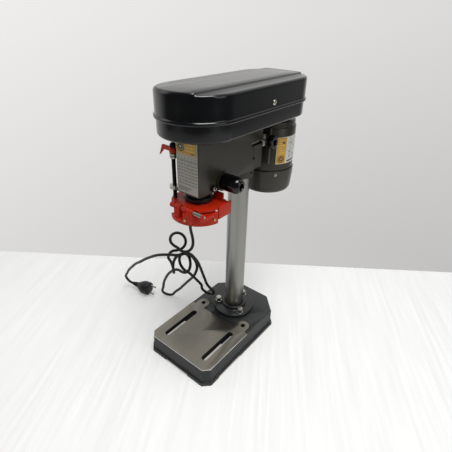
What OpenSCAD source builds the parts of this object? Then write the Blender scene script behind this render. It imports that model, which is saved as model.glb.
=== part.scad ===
// Bench drill press, 13 mm class, five belt speeds.
// Z up, millimetres. The column axis is X = 0, Y = 0, the bench is Z = 0, the front is -Y.

/* [Base] */
// Width of the base top
base_w = 177; // [140:1:260]
// Front edge of the base top, forward of the column axis
base_front = 207.5; // [160:0.5:260]
// Rear edge of the base top, behind the column axis
base_rear = 82.5; // [65:0.5:120]
// Height of the machined base top above the bench
base_h = 46; // [30:1:60]
// Corner cut of the front corners
base_cut_front = 13; // [5:1:30]
// Corner cut of the rear corners
base_cut_rear = 40; // [20:1:60]
// Outward step of the foot around the base
foot_out = 4; // [0:0.5:8]
// Length of the two clamping slots
slot_l = 103; // [60:1:140]
// Width of the clamping slots
slot_w = 14; // [8:0.5:20]
// Sideways distance of each slot from the centre line
slot_x = 57.5; // [35:0.5:75]
// Sideways distance of each bench bolt hole from the centre line
ear_x = 64; // [50:0.5:80]
// Bench bolt hole diameter
ear_d = 11; // [8:0.5:16]

/* [Column] */
// Column outside diameter
col_d = 46; // [35:1:70]
// Column wall thickness
col_wall = 4; // [2:0.5:8]
// Height of the column top
col_top = 466; // [420:1:475]
// Flange diameter
flange_d = 101; // [80:1:130]
// Radius of the flange bolt circle
flange_bolt_r = 39.5; // [34:0.5:50]

/* [Head] */
// Distance from column axis to spindle axis
throat = 126; // [100:1:160]
// Half width of the head at its front face
head_half_front = 27; // [27:0.5:40]
// Half width of the head beside the column
head_half_rear = 35; // [33:0.5:50]
// Front face of the head, forward of the column axis
head_front = 155; // [150:1:190]
// Underside of the head nose
head_bottom = 415; // [400:1:430]
// Top face of the head, on which the pulley tray sits
head_top = 526; // [515:1:540]
// Quill diameter
quill_d = 44; // [36:1:50]
// Quill stroke
stroke = 50; // [20:1:50]
// Hub diameter of the feed handle
hub_d = 33; // [26:1:40]
// Height of the feed shaft
feed_z = 430.5; // [425:0.5:440]

/* [Pulley cover] */
// Half width of the pulley cover
cover_half = 75; // [70:1:95]
// Rear face of the cover, behind the column axis
cover_rear = 149; // [140:1:170]
// Height of the lid, from its lower edge to its outer top face
lid_high = 47; // [44:0.5:60]
// Rise of the middle panel of the lid
panel_rise = 3; // [1:0.5:6]
// Sheet thickness of the cover
sheet = 1.6; // [1:0.1:3]

/* [Motor] */
// Distance from column axis to the near side of the motor
motor_gap = 51; // [48:0.5:60]
// Motor diameter
motor_d = 114; // [90:1:116]
// Underside of the motor
motor_bottom = 350; // [330:1:380]

/* [Guard] */
// Radius of the guard skirt
guard_r = 54; // [48:1:60]
// Lower edge of the guard skirt
guard_low = 369; // [355:1:375]

/* [Cord] */
// Cord diameter
cord_d = 7; // [5:0.5:9]

/* [Hidden] */
$fn = 64;
half_w = base_w / 2;
pad_rise = 1.2;           // machined plate above the painted top
pad_rear = -61.5;         // straight rear edge of the machined plate
ear_y = -46;              // bench bolt holes
ear_r = 15;
foot_h = 8;
pillar_r = 20;            // foot under the column, inside the hollow base
wall = 7;
col_r = col_d / 2;
flange_h = 8;
collar_r = 31;
flange_top = base_h + flange_h;
spin_y = -throat;         // spindle axis
quill_r = quill_d / 2;
quill_low = 378;          // quill ends when retracted
quill_high = 508;
feed_y = spin_y + 35;     // feed shaft axis
rack_m = 1.75;            // rack module
pinion_n = 14;
pinion_r = rack_m * pinion_n / 2;
rack_p = rack_m * 180 * 3.14159 / 180;
shaft_r = 8;
spoke_x = 45;             // the spokes' axes meet the shaft here
spoke_lean = 25;          // and lean outwards, clear of the head
spoke_deep = 12;          // blind ends of their holes, outside the shaft
rod_x = -39;              // depth rod
rod_y = -150;
rod_r = 4;
nut_low = 475.3;
slide_x = 24;             // motor slide rods
slide_z = 482;
slide_r = 7;
tray_low = head_top;
tray_high = head_top + 26;
lid_low = tray_high + 0.4;
lid_screw_z = lid_low + 15.1;
lid_top = lid_low + lid_high;
lid_room = 8.8;           // from the pulleys' top to the lid's underside
cover_y = -122;           // centre of the round cover front
cover_corner = 50;
lip_out = 2.5;
panel_half = 42;
hinge_x = -(cover_half + 7);
hinge_z = tray_high + 0.2;
motor_r = motor_d / 2;
motor_y = motor_gap + motor_r;
pulley_low = head_top + 4;
pulley_foot = 1;          // plain disc under the lowest step
step_h = (lid_top - sheet - lid_room - pulley_low - pulley_foot) / 5;
pulley_top = pulley_low + pulley_foot + 5 * step_h;
spindle_steps = [52, 49, 46, 42.5, 38.5];
motor_steps = [18.5, 22.3, 26, 30, 34];
drive_l = pulley_top - 0.3 - quill_high - 2.7;   // splined drive end of the spindle
belt_z = pulley_low + pulley_foot + 2.5 * step_h;
seam_z = 404;             // motor shell meets its lower cap
shell_top = 498;
cap_screws = [-38, 52, 142, 232];
cap_seat = motor_r - 1;   // screw heads sit in shallow pockets
guard_top = 397;          // guard plate
flip_y = -171;            // guard hinge
flip_z = guard_top - 3.5;
box_x = -36;              // switch box, left side of the head
box_deep = 34;
gland = [-54, -56, 428];    // lower end of the cord's strain relief
plug_face = [-240, -80];
plug_r = 18.5;
plug_turn = 13;
plug_back = 56;

// Cord route, leaving the gland downwards, tied in a bundle, ending in the plug.
route = [
  [-54, -56, 428], [-54.6, -56, 416.1], [-56.9, -55.9, 404.3], [-60, -56.2, 392.7],
  [-63.4, -56.8, 381.3], [-66.8, -57.5, 369.8], [-69.6, -58.2, 358.2], [-72, -58.8, 346.5],
  [-74.2, -59.6, 334.7], [-76.2, -60.5, 323], [-78.1, -61.8, 311.2], [-80.1, -63.7, 299.6],
  [-81.9, -65.6, 287.9], [-83, -67.1, 276.1], [-81.6, -66.6, 264.3], [-78.8, -66.1, 252.7],
  [-76.2, -66.9, 241], [-75.4, -69.3, 229.4], [-78.5, -74.6, 219.3], [-86.4, -81.6, 214],
  [-97.4, -85.9, 214.4], [-108.2, -87.1, 219.2], [-118.9, -90.2, 223.7], [-128.6, -89.5, 230.3],
  [-133.7, -82.5, 238.1], [-131.4, -72.1, 242.9], [-123.8, -63.2, 241.9], [-115, -58.6, 235.5],
  [-109.1, -58.3, 225.2], [-108.5, -61.8, 214], [-112.8, -68.9, 205.5], [-120.4, -77.1, 201.4],
  [-129, -84.9, 199], [-134.7, -91.1, 190.8], [-136.7, -92.2, 179.2], [-135.5, -87.7, 168.3],
  [-130.3, -87.1, 157.7], [-121.9, -91.6, 150.9], [-112.7, -99, 151.1], [-106.3, -105.4, 158.6],
  [-104.8, -107.4, 170], [-107.9, -103.7, 180.8], [-111.6, -95, 188], [-110.2, -84.9, 194],
  [-103.3, -76.1, 197.7], [-94.7, -68.1, 196.1], [-87.8, -60.7, 189.8], [-84.3, -55.5, 179.7],
  [-81.6, -52.4, 168.5], [-80.7, -50.4, 156.7], [-83.4, -48.9, 145.2], [-87.8, -47.9, 134.1],
  [-92.9, -47, 123.3], [-99.1, -46.4, 113.1], [-106.3, -46, 103.6], [-113.7, -45.5, 94.2],
  [-121.3, -45, 84.9], [-128.6, -44.6, 75.5], [-135.9, -44.1, 66], [-143.2, -43.8, 56.5],
  [-150.4, -43.6, 46.9], [-158.1, -44.1, 37.8], [-166.2, -45.5, 29.1], [-173.6, -46.2, 19.7],
  [-180.5, -46.2, 10.1], [-190.6, -49.7, 5.1], [-200.1, -56, 7.7], [-204, -62.2, 16.9],
  [-201.4, -65.3, 27.9], [-196.3, -66.2, 38.7], [-192.5, -67.9, 50], [-188.3, -69.5, 61],
  [-183.1, -71.2, 71.7], [-177.3, -72.8, 82.1], [-171.1, -74.3, 92.2], [-164.6, -75.9, 102.1],
  [-157.6, -77.4, 111.7], [-149.9, -78.9, 120.8], [-141.7, -80.1, 129.3], [-132.7, -80.6, 137.3],
  [-122.9, -81, 144], [-111.5, -81.4, 147.6], [-100.3, -84.4, 150.2], [-88.9, -83.2, 152.9],
  [-81.5, -78.8, 160.9], [-81.3, -73.4, 171.4], [-87.2, -67.4, 179.8], [-96.1, -62.8, 186.2],
  [-107.7, -62.1, 188.4], [-118.2, -64.2, 183.7], [-123.1, -67.6, 173.6], [-120.3, -70.6, 162.6],
  [-111.5, -73.5, 155.3], [-101.4, -73.7, 149.2], [-93.4, -68.2, 142.3], [-87.8, -62.5, 133.5],
  [-83.8, -56.8, 123.7], [-80.6, -51, 113.7], [-77.4, -45.2, 103.8], [-76.2, -39.6, 93.4],
  [-80, -35.4, 82.9], [-81.5, -30.8, 72.1], [-76.2, -25.4, 63.1], [-65.8, -21.2, 59.8],
  [-54.9, -20.4, 64], [-48.8, -23, 73.7], [-49.8, -27.6, 84.4], [-56.7, -32.1, 93.1],
  [-61.5, -35.9, 103.3], [-62.8, -39.3, 114.7], [-63.7, -42.6, 126.1], [-65, -45.9, 137.6],
  [-66.5, -48.9, 149.1], [-68.2, -51.9, 160.5], [-70.3, -55, 171.9], [-73.3, -58.9, 182.8],
  [-77.7, -63.7, 192.8], [-84, -68.7, 201.5], [-91.9, -76.9, 204.9], [-98.6, -86.5, 202.6],
  [-107.3, -94.5, 201.9], [-117.4, -101, 201.8], [-128, -106.3, 200], [-138.8, -110.6, 197.2],
  [-149.5, -113.9, 193.2], [-159.9, -115.7, 187.5], [-169.9, -116.5, 180.9],
  [-179.7, -117.2, 174.1], [-189.4, -117.8, 167.1], [-198.8, -118.1, 159.7], [-207.9, -118.2, 152],
  [-217.1, -117.9, 144.3], [-226.6, -117.1, 137], [-236, -116.3, 129.6], [-244.8, -115.5, 121.6],
  [-253.2, -114.8, 113.1], [-261.5, -113.9, 104.5], [-269.9, -112.8, 96], [-278, -111.5, 87.3],
  [-285.7, -110, 78.3], [-292.9, -108.2, 68.9], [-300.1, -106.3, 59.5], [-307.6, -104.4, 50.3],
  [-313.5, -102.1, 40.3], [-313.2, -98.8, 29], [-306, -95.3, 20.4], [-294.6, -92.6, 18.5]
];

// ---------- helpers ----------
function octo(o) = let (w = half_w + o, f = -base_front - o, r = base_rear + o,
    a = base_cut_front + 0.586 * o, b = base_cut_rear + 0.586 * o)
  [[-w + a, f], [w - a, f], [w, f + a], [w, r - b], [w - b, r], [-w + b, r], [-w, r - b],
   [-w, f + a]];

// Solid of the cover's plan: round front, straight sides, rounded rear corners.
module cover_plan(g, z0, h) {
  r = cover_half - g;
  c = cover_corner - g;
  yc = cover_rear - cover_corner;
  translate([0, 0, z0]) {
    translate([0, cover_y, 0]) cylinder(r = r, h = h, $fn = 96);
    translate([-r, cover_y, 0]) cube([2 * r, yc - cover_y, h]);
    translate([-r + c, yc, 0]) cube([2 * (r - c), c, h]);
    for (s = [-1, 1]) translate([s * (r - c), yc, 0]) cylinder(r = c, h = h);
  }
}
module rod_x_axis(x0, x1, y, z, r) {
  translate([x0, y, z]) rotate([0, 90, 0]) cylinder(r = r, h = x1 - x0);
}
module rod_y_axis(y0, y1, x, z, r) {
  translate([x, y1, z]) rotate([90, 0, 0]) cylinder(r = r, h = y1 - y0);
}
module hex_z(r, h) { cylinder(r = r, h = h, $fn = 6); }
module ring(ro, ri, h) {
  difference() {
    cylinder(r = ro, h = h);
    translate([0, 0, -1]) cylinder(r = ri, h = h + 2);
  }
}
module at_spindle() { translate([0, spin_y, 0]) children(); }
module at_motor() { translate([0, motor_y, 0]) children(); }

// ---------- base and column ----------
module base_casting() color([0.17, 0.19, 0.2]) difference() {
  union() {
    linear_extrude(foot_h) polygon(octo(foot_out));
    linear_extrude(base_h - pad_rise) polygon(octo(0));
    intersection() {
      linear_extrude(base_h) polygon(octo(0));
      translate([-half_w, -base_front, 0]) cube([base_w, base_front + pad_rear, base_h]);
    }
    for (s = [-1, 1]) {
      translate([s * ear_x, ear_y, 0]) cylinder(r = ear_r, h = base_h);
      translate([s * ear_x - ear_r, pad_rear - 1, 0])
        cube([2 * ear_r, ear_y - pad_rear + 1, base_h]);
    }
    translate([0, 0, base_h - 10]) cylinder(r = flange_d / 2 - 1, h = 10);
  }
  difference() {
    translate([0, 0, -1]) linear_extrude(base_h - 11) polygon(octo(-wall));
    translate([0, 0, 14]) cylinder(r = 47, h = 40);
    translate([0, 0, -2]) cylinder(r = pillar_r, h = 20);
    for (s = [-1, 1]) {
      translate([s * ear_x, ear_y, 14]) cylinder(r = 12, h = 40);
      translate([s * 38 - 2.5, -210, 8]) cube([5, 175, 40]);
    }
    translate([-half_w, -58, 8]) cube([base_w, 5, 40]);
    translate([-2.5, 40, 8]) cube([5, 50, 40]);
  }
  for (s = [-1, 1]) {
    translate([s * slot_x, -82 - slot_w / 2, -1]) cylinder(d = slot_w, h = base_h + 2);
    translate([s * slot_x, -82 - slot_l + slot_w / 2, -1]) cylinder(d = slot_w, h = base_h + 2);
    translate([s * slot_x - slot_w / 2, -82 - slot_l + slot_w / 2, -1])
      cube([slot_w, slot_l - slot_w, base_h + 2]);
    translate([s * ear_x, ear_y, -1]) cylinder(d = ear_d, h = base_h + 2);
  }
  translate([-150, -170, -1]) cube([300, 79, 5.5]);
  difference() {
    translate([-34, -300, -1]) cube([68, 500, 5.5]);
    translate([0, 0, -2]) cylinder(r = pillar_r, h = 20);
  }
  for (a = [90, 210, 330]) rotate(a) translate([flange_bolt_r, 0, 20]) cylinder(r = 4, h = 40);
}
module column_flange() color([0.06, 0.06, 0.06]) difference() {
  union() {
    translate([0, 0, base_h]) cylinder(d = flange_d, h = flange_h - 2);
    translate([0, 0, flange_top - 2]) cylinder(d1 = flange_d, d2 = flange_d - 4, h = 2);
    translate([0, 0, flange_top]) cylinder(r = collar_r, h = 8);
  }
  translate([0, 0, base_h - 1]) cylinder(r = col_r, h = 40);
  for (a = [90, 210, 330]) rotate(a) translate([flange_bolt_r, 0, base_h - 1])
    cylinder(r = 4, h = 40);
}
module flange_bolts() color([0.75, 0.75, 0.72])
  for (a = [90, 210, 330]) rotate(a) translate([flange_bolt_r, 0, 0]) {
    translate([0, 0, base_h - 22]) cylinder(r = 4, h = 22 + flange_h);
    translate([0, 0, flange_top]) cylinder(r = 8, h = 1.6);
    translate([0, 0, flange_top + 1.6]) hex_z(7.4, 6);
  }
module column_tube() color([0.72, 0.72, 0.7]) translate([0, 0, base_h])
  ring(col_r, col_r - col_wall, col_top - base_h);

// ---------- head ----------
head_plan = [[-head_half_front + 1.2, -head_front], [head_half_front - 1.2, -head_front],
  [head_half_front, -head_front + 1.2], [head_half_rear, 0], [head_half_rear, 28],
  [-head_half_rear, 28], [-head_half_rear, 0], [-head_half_front, -head_front + 1.2]];
head_side = [[-head_front, head_bottom], [-96, head_bottom], [-56, 428], [28, 428],
  [28, head_top], [-head_front, head_top]];
module head_casting() color([0.3, 0.29, 0.26]) difference() {
  union() {
    intersection() {
      translate([0, 0, 400]) linear_extrude(head_top - 400) polygon(head_plan);
      translate([-60, 0, 0]) rotate([90, 0, 90]) linear_extrude(120) polygon(head_side);
    }
    translate([0, 0, 409]) cylinder(r = collar_r, h = 30);
    rod_x_axis(20, 33, feed_y, feed_z, 19);
    rod_x_axis(-33, -20, feed_y, feed_z, 25);
    translate([box_x, -90, 460]) cube([12, 50, 50]);
    translate([-41, rod_y, 415]) cylinder(r = 8.5, h = 7);
    translate([-41, rod_y - 5, 415]) cube([20, 13, 7]);
  }
  translate([0, 0, 400]) cylinder(r = col_r, h = col_top + 2 - 400);
  at_spindle() {
    translate([0, 0, 400]) cylinder(r = quill_r + 0.05, h = 111);
    translate([0, 0, 505]) cylinder(r = 18, h = head_top - 511);
    translate([0, 0, head_top - 12]) cylinder(r = 21, h = 20);
    translate([-6.4, 15, 400]) cube([12.8, 9.4, 111]);
  }
  rod_x_axis(-40, 40, feed_y, feed_z, shaft_r + 0.05);
  rod_x_axis(-7, 7, feed_y, feed_z, pinion_r + 2.4);
  translate([-21, -92, 452]) cube([42, 50, 90]);
  for (s = [-1, 1]) rod_y_axis(-32, 40, s * slide_x, slide_z, slide_r + 0.35);
  translate([28, -4, slide_z - 5]) cube([10, 40, 10]);
  rod_x_axis(28, 40, -4, slide_z, 5);
  rod_x_axis(20, 40, 0, 452, 3);
  rod_x_axis(20, 40, 0, 419, 3);
  rod_x_axis(15, 40, -119.5, 425, 3);
  translate([rod_x, rod_y, 400]) cylinder(r = rod_r + 0.35, h = 40);
  for (s = [-1, 1], y = [-70, 12]) translate([s * 26, y, head_top - 14]) cylinder(r = 2.5, h = 20);
}
module head_set_screws() color([0.12, 0.12, 0.12]) {
  rod_x_axis(col_r, 32, 0, 452, 3);
  rod_x_axis(col_r, 30, 0, 419, 3);
}
module front_label() color([0.8, 0.78, 0.72])
  translate([-25.2, -head_front - 0.5, 417.5]) cube([50.4, 0.5, 105]);
module quill_guide_screw() color([0.7, 0.7, 0.68]) {
  rod_x_axis(19.3, 22.4, -119.5, 425, 2.2);
  rod_x_axis(22.4, 36, -119.5, 425, 3);
  translate([29, -119.5, 425]) rotate([0, 90, 0]) difference() {
    hex_z(5.8, 4.5);
    translate([0, 0, -1]) cylinder(r = 3, h = 8);
  }
}
module spring_cup() color([0.1, 0.1, 0.1]) difference() {
  rod_x_axis(-52, -33, feed_y, feed_z, 24);
  rod_x_axis(-50.4, -30, feed_y, feed_z, 22.4);
}
function spiral(a) = 10 + 11.6 * a / 1440;
module clock_spring() color([0.35, 0.4, 0.48])
  translate([-47, feed_y, feed_z]) rotate([0, 90, 0]) linear_extrude(10) polygon(concat(
    [for (a = [0:24:1440]) [spiral(a) * cos(a), spiral(a) * sin(a)]],
    [for (a = [1440:-24:0]) [(spiral(a) + 0.8) * cos(a), (spiral(a) + 0.8) * sin(a)]]));
module rod_clamp() color([0.75, 0.75, 0.73]) difference() {
  translate([13, 28, 470]) cube([23, 9, 24]);
  rod_y_axis(20, 45, slide_x, slide_z, slide_r + 0.35);
  rod_x_axis(30, 40, 32.5, slide_z, 3.05);
}
module belt_lock_knob() color([0.05, 0.05, 0.05]) {
  rod_x_axis(31.5, 48, 32.5, slide_z, 3);
  rod_x_axis(44, 50, 32.5, slide_z, 6);
  difference() {
    rod_x_axis(50, 62, 32.5, slide_z, 14);
    for (a = [30:60:330]) translate([49, 32.5, slide_z]) rotate([a, 0, 0])
      translate([0, 17.5, 0]) rotate([0, 90, 0]) cylinder(r = 6, h = 14);
  }
}

// ---------- switch, cord and plug ----------
module switch_box() color([0.08, 0.08, 0.08]) difference() {
  translate([box_x - box_deep, -92, 458]) cube([box_deep, 54, 54]);
  translate([box_x - box_deep + 2.5, -89.5, 460.5]) cube([box_deep, 49, 49]);
  for (y = [-77, -53]) rod_x_axis(-75, -60, y, 485, 9.35);
}
module switch_block() color([0.2, 0.2, 0.2]) translate([-61, -86, 470]) cube([25, 42, 30]);
module start_button() color([0.1, 0.45, 0.15]) rod_x_axis(-75.5, -64, -53, 485, 9);
module stop_button() color([0.75, 0.08, 0.05]) rod_x_axis(-75.5, -64, -77, 485, 9);
module cord_gland() color([0.05, 0.05, 0.05]) translate([gland[0], gland[1], 0]) {
  translate([0, 0, 450]) hex_z(9, 8);
  translate([0, 0, gland[2]]) cylinder(r1 = 4.4, r2 = 7, h = 450 - gland[2]);
}
function unit(v) = v / norm(v);
function tang(i) = unit(route[min(i + 1, len(route) - 1)] - route[max(i - 1, 0)]);
function side_at(i, n) = unit(n - (n * tang(i)) * tang(i));
function sides(i, n, acc) = i >= len(route) ? acc
  : let (m = side_at(i, n)) sides(i + 1, m, concat(acc, [m]));
module mains_cord() color([0.04, 0.04, 0.04]) {
  k = 8;
  n = len(route);
  s = sides(0, [1, 0, 0], []);
  pts = [for (i = [0:n - 1]) let (u = s[i], w = cross(tang(i), u))
    for (j = [0:k - 1]) route[i] + cord_d / 2 * (u * cos(j * 45) + w * sin(j * 45))];
  side_faces = [for (i = [0:n - 2], j = [0:k - 1]) let (a = i * k + j, b = i * k + (j + 1) % k)
    each [[a, b, b + k], [a, b + k, a + k]]];
  polyhedron(points = pts, faces = concat([[for (j = [0:k - 1]) k - 1 - j]], side_faces,
    [[for (j = [0:k - 1]) (n - 1) * k + j]]));
}
module at_plug() {
  translate([plug_face[0], plug_face[1], plug_r]) rotate([0, 0, plug_turn]) children();
}
module plug_body() color([0.05, 0.05, 0.05]) at_plug() {
  rotate([0, -90, 0]) cylinder(r = plug_r, h = 24);
  translate([-24, 0, 0]) rotate([0, -90, 0]) cylinder(r1 = plug_r, r2 = 8, h = 14);
  translate([-38, 0, 0]) rotate([0, -90, 0]) cylinder(r1 = 8, r2 = 4.5, h = plug_back - 38);
}
module plug_pins() color([0.8, 0.8, 0.78]) at_plug()
  for (s = [-1, 1]) translate([0, s * 6, s * 7.5]) rotate([0, 90, 0]) cylinder(r = 2.4, h = 19);

// ---------- quill group ----------
module quill() color([0.13, 0.13, 0.14]) at_spindle() {
  difference() {
    translate([0, 0, quill_low]) cylinder(r = quill_r, h = quill_high - quill_low);
    translate([0, 0, quill_low - 1]) cylinder(r = 12, h = 200);
    translate([0, 0, quill_low - 1]) cylinder(r = 17.5, h = 13);
    translate([0, 0, quill_high - 12]) cylinder(r = 17.5, h = 13);
    translate([-7.5, 20.8, 412]) cube([15, 10, 88]);
    translate([18.4, 4, 419]) cube([10, 5, 63]);
  }
  for (k = [-1:11]) translate([-6, 0, feed_z + (k + 0.5) * rack_p]) rotate([90, 0, 90])
    linear_extrude(12) polygon([[20.8, -1.4], [24, -0.6], [24, 0.6], [20.8, 1.4]]);
}
module quill_bearings() color([0.7, 0.7, 0.7]) at_spindle() {
  translate([0, 0, quill_low + 1]) ring(17.5, shaft_r + 0.05, 11);
  translate([0, 0, quill_high - 12]) ring(17.5, shaft_r + 0.05, 11);
}
module spindle() color([0.78, 0.78, 0.78]) at_spindle() {
  translate([0, 0, quill_low - 24]) cylinder(r1 = 7.27, r2 = 7.87, h = 24);
  translate([0, 0, quill_low]) cylinder(r = 9.5, h = 0.7);
  translate([0, 0, quill_low + 0.7]) cylinder(r = shaft_r, h = quill_high - quill_low + 2);
  translate([0, 0, quill_high + 2.7]) cylinder(r = 6.6, h = drive_l);
  for (a = [0:60:300]) rotate(a) translate([5, -1, quill_high + 2.7]) cube([2.9, 2, drive_l]);
}
module depth_rod() color([0.06, 0.06, 0.06]) translate([rod_x, rod_y, 0]) {
  translate([0, 0, 389]) cylinder(r = rod_r, h = 107);
  translate([0, 0, 495]) cylinder(r = 6, h = 4);
  intersection() {
    translate([0, 0, 498]) sphere(r = 6);
    translate([-8, -8, 499]) cube([16, 16, 8]);
  }
}
module depth_nuts() color([0.75, 0.75, 0.72]) translate([rod_x, rod_y, 0])
  for (z = [nut_low, nut_low + 5, 388.2]) translate([0, 0, z]) difference() {
    hex_z(7.5, 4.6);
    translate([0, 0, -1]) cylinder(r = rod_r, h = 8);
  }
module depth_pointer() color([0.78, 0.12, 0.03]) difference() {
  union() {
    translate([rod_x, rod_y, 486]) cylinder(r = 7, h = 9);
    translate([0, rod_y + 2, 0]) rotate([90, 0, 0]) linear_extrude(4)
      polygon([[-44, 495], [-66, 495], [-68, 488], [-74, 474], [-65, 484], [-61, 487], [-44, 487]]);
  }
  translate([rod_x, rod_y, 480]) cylinder(r = rod_r, h = 20);
}
module guard_ring() color([0.05, 0.05, 0.05]) at_spindle() translate([0, 0, guard_top])
  ring(27, quill_r, 9);
module guard_bracket() color([0.76, 0.1, 0.03]) difference() {
  union() {
    intersection() {
      at_spindle() translate([0, 0, guard_top - 4]) cylinder(r = 52, h = 4);
      translate([-47, -165.5, guard_top - 6]) cube([110, 70, 10]);
    }
    at_spindle() translate([0, 0, guard_top - 13]) cylinder(r = 27, h = 13);
    translate([17, -104, guard_top - 4]) cube([23, 4, 19]);
    translate([51, -132, guard_top - 23]) cube([4, 36, 25]);
    translate([42, -118, guard_top - 23]) cube([13, 22, 3]);
    translate([42, -118, guard_top - 23]) cube([3, 22, 20]);
    translate([42, -99, guard_top - 23]) cube([13, 3, 22]);
    translate([-50, -146, guard_top - 17]) cube([4, 34, 17]);
    for (x = [-28, 2]) {
      rod_x_axis(x, x + 12, flip_y, flip_z, 5);
      translate([x, flip_y, guard_top - 5]) cube([12, 8, 5]);
    }
    for (x = [-9, 1.5]) translate([x, -101, guard_top - 13]) cube([7.5, 14, 9]);
  }
  at_spindle() translate([0, 0, guard_top - 27]) cylinder(r = quill_r, h = 60);
  translate([-1.5, -106, guard_top - 27]) cube([3, 30, 23]);
  rod_x_axis(-20, 20, -92, guard_top - 8.5, 2);
  for (x = [-28, 2]) rod_x_axis(x - 1, x + 13, flip_y, flip_z, 2.2);
  translate([rod_x, rod_y, guard_top - 17]) cylinder(r = rod_r, h = 30);
}
module guard_clamp_screw() color([0.7, 0.7, 0.68]) {
  rod_x_axis(-9, 11, -92, guard_top - 8.5, 2);
  rod_x_axis(-12, -9, -92, guard_top - 8.5, 3.6);
  rod_x_axis(-53, -50, -140, guard_top - 8, 3);
}
module guard_pin() color([0.8, 0.8, 0.8]) rod_x_axis(-29, 55, flip_y, flip_z, 2.2);
module guard_spring() color([0.82, 0.82, 0.8]) translate([28, flip_y, flip_z])
  rotate([0, 90, 0]) ring(3.4, 2.2, 20);
module skirt_part(ro, ri, z0, z1, sector) intersection() {
  at_spindle() translate([0, 0, z0]) ring(ro, ri, z1 - z0);
  translate([0, 0, z0 - 1]) linear_extrude(z1 - z0 + 2) polygon(sector);
}
skirt_left = [[0, spin_y], [-48.5, spin_y - 72], [0, spin_y - 90], [9, spin_y - 90], [9, spin_y]];
skirt_right = [[8, spin_y], [8, spin_y - 90], [80, spin_y - 80], [80, spin_y - 7], [20, spin_y - 7]];
module guard_skirt() color([0.76, 0.1, 0.03]) difference() {
  union() {
    skirt_part(guard_r, guard_r - 3.5, guard_low, guard_low + 5, skirt_left);
    skirt_part(guard_r, guard_r - 14, guard_low + 2, guard_low + 5, skirt_left);
    skirt_part(guard_r - 10, guard_r - 13, guard_low + 2, guard_low + 20, skirt_left);
    skirt_part(guard_r, guard_r - 3.5, guard_low, guard_low + 20, skirt_right);
    skirt_part(guard_r, guard_r - 10, guard_low + 17.5, guard_low + 20, skirt_right);
    for (x = [-15.5, 14.5]) {
      rod_x_axis(x, x + 12, flip_y, flip_z, 5);
      translate([x, -177.5, guard_low + 2]) cube([12, 9, 21]);
    }
    translate([49.5, -175, flip_z - 9.5]) cube([4, 30, 5]);
    translate([49.5, -175, flip_z - 9.5]) cube([4, 8, 9.5]);
    rod_x_axis(49.5, 53.5, flip_y, flip_z, 4.5);
  }
  rod_x_axis(-30, 60, flip_y, flip_z, 2.25);
  rod_x_axis(-40, -16, flip_y, flip_z, 6);
  rod_x_axis(1.5, 14, flip_y, flip_z, 6);
  rod_x_axis(27, 49, flip_y, flip_z, 4.2);
}
module guard_screws() color([0.72, 0.6, 0.3]) at_spindle() for (a = [284, 344]) rotate(a)
  rod_x_axis(guard_r, guard_r + 1.8, 0, guard_low + 7, 2.8);

// ---------- feed ----------
function polar(r, a) = [r * cos(a), r * sin(a)];
pinion_teeth = [for (k = [0:pinion_n - 1]) let (a = 180 + k * 360 / pinion_n)
  each [polar(pinion_r - 2.2, a - 8.6), polar(pinion_r, a - 4.7), polar(pinion_r + 1.65, a - 2),
    polar(pinion_r + 1.65, a + 2), polar(pinion_r, a + 4.7), polar(pinion_r - 2.2, a + 8.6)]];
module pinion_shaft() color([0.6, 0.6, 0.6]) {
  rod_x_axis(-49, 60, feed_y, feed_z, shaft_r);
  translate([-6, feed_y, feed_z]) rotate([90, 0, 90]) linear_extrude(12) polygon(pinion_teeth);
}
hub_r = hub_d / 2;
module feed_hub() color([0.04, 0.04, 0.04]) difference() {
  translate([33.4, feed_y, feed_z]) rotate([0, 90, 0]) rotate_extrude() polygon([[0, 0],
    [hub_r, 0], [hub_r, 24], [hub_r - 0.7, 30], [hub_r - 2.5, 35], [hub_r - 5, 38.5],
    [hub_r - 8.5, 40.6], [0, 40.6]]);
  rod_x_axis(30, 60, feed_y, feed_z, shaft_r);
  rod_x_axis(59, 80, feed_y, feed_z, 5.4);
  for (a = [-15, 105, 225]) translate([spoke_x, feed_y, feed_z]) rotate([a, 0, 0])
    rotate([0, spoke_lean, 0]) translate([0, 0, spoke_deep]) cylinder(r = 4.2, h = 20);
}
module hub_screw() color([0.15, 0.15, 0.15]) difference() {
  rod_x_axis(60, 66, feed_y, feed_z, 5.4);
  translate([63, feed_y, feed_z]) rotate([0, 90, 0]) cylinder(r = 2.9, h = 5, $fn = 6);
}

// ---------- pulley cover ----------
module cover_tray() color([0.03, 0.03, 0.03]) difference() {
  union() {
    difference() {
      cover_plan(1.6, tray_low, tray_high - tray_low);
      cover_plan(1.6 + sheet, tray_low + sheet, 40);
    }
    translate([cover_half - 5.6, -12, tray_low + sheet])
      cube([sheet, 15, lid_screw_z + 4.5 - tray_low - sheet]);
    translate([cover_half - 5.6, -12, tray_low + sheet]) cube([3, 15, 14]);
  }
  at_spindle() translate([0, 0, head_top - 26]) cylinder(r = 22, h = 40);
  translate([-16, motor_y - 22, head_top - 26]) cube([32, 36, 40]);
  for (s = [-1, 1], y = [-70, 12]) translate([s * 26, y, head_top - 26]) cylinder(r = 2.5, h = 40);
  translate([60, -8.1, lid_screw_z - 3.6]) cube([20, 7.2, 20]);
  rod_x_axis(60, 80, -4.5, lid_screw_z - 3.6, 3.6);
}
module tray_screws() color([0.6, 0.6, 0.58]) for (s = [-1, 1], y = [-70, 12])
  translate([s * 26, y, 0]) {
    translate([0, 0, head_top - 12]) cylinder(r = 2.5, h = 12 + sheet);
    translate([0, 0, head_top + sheet]) cylinder(r = 5, h = 2.4);
  }
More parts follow.
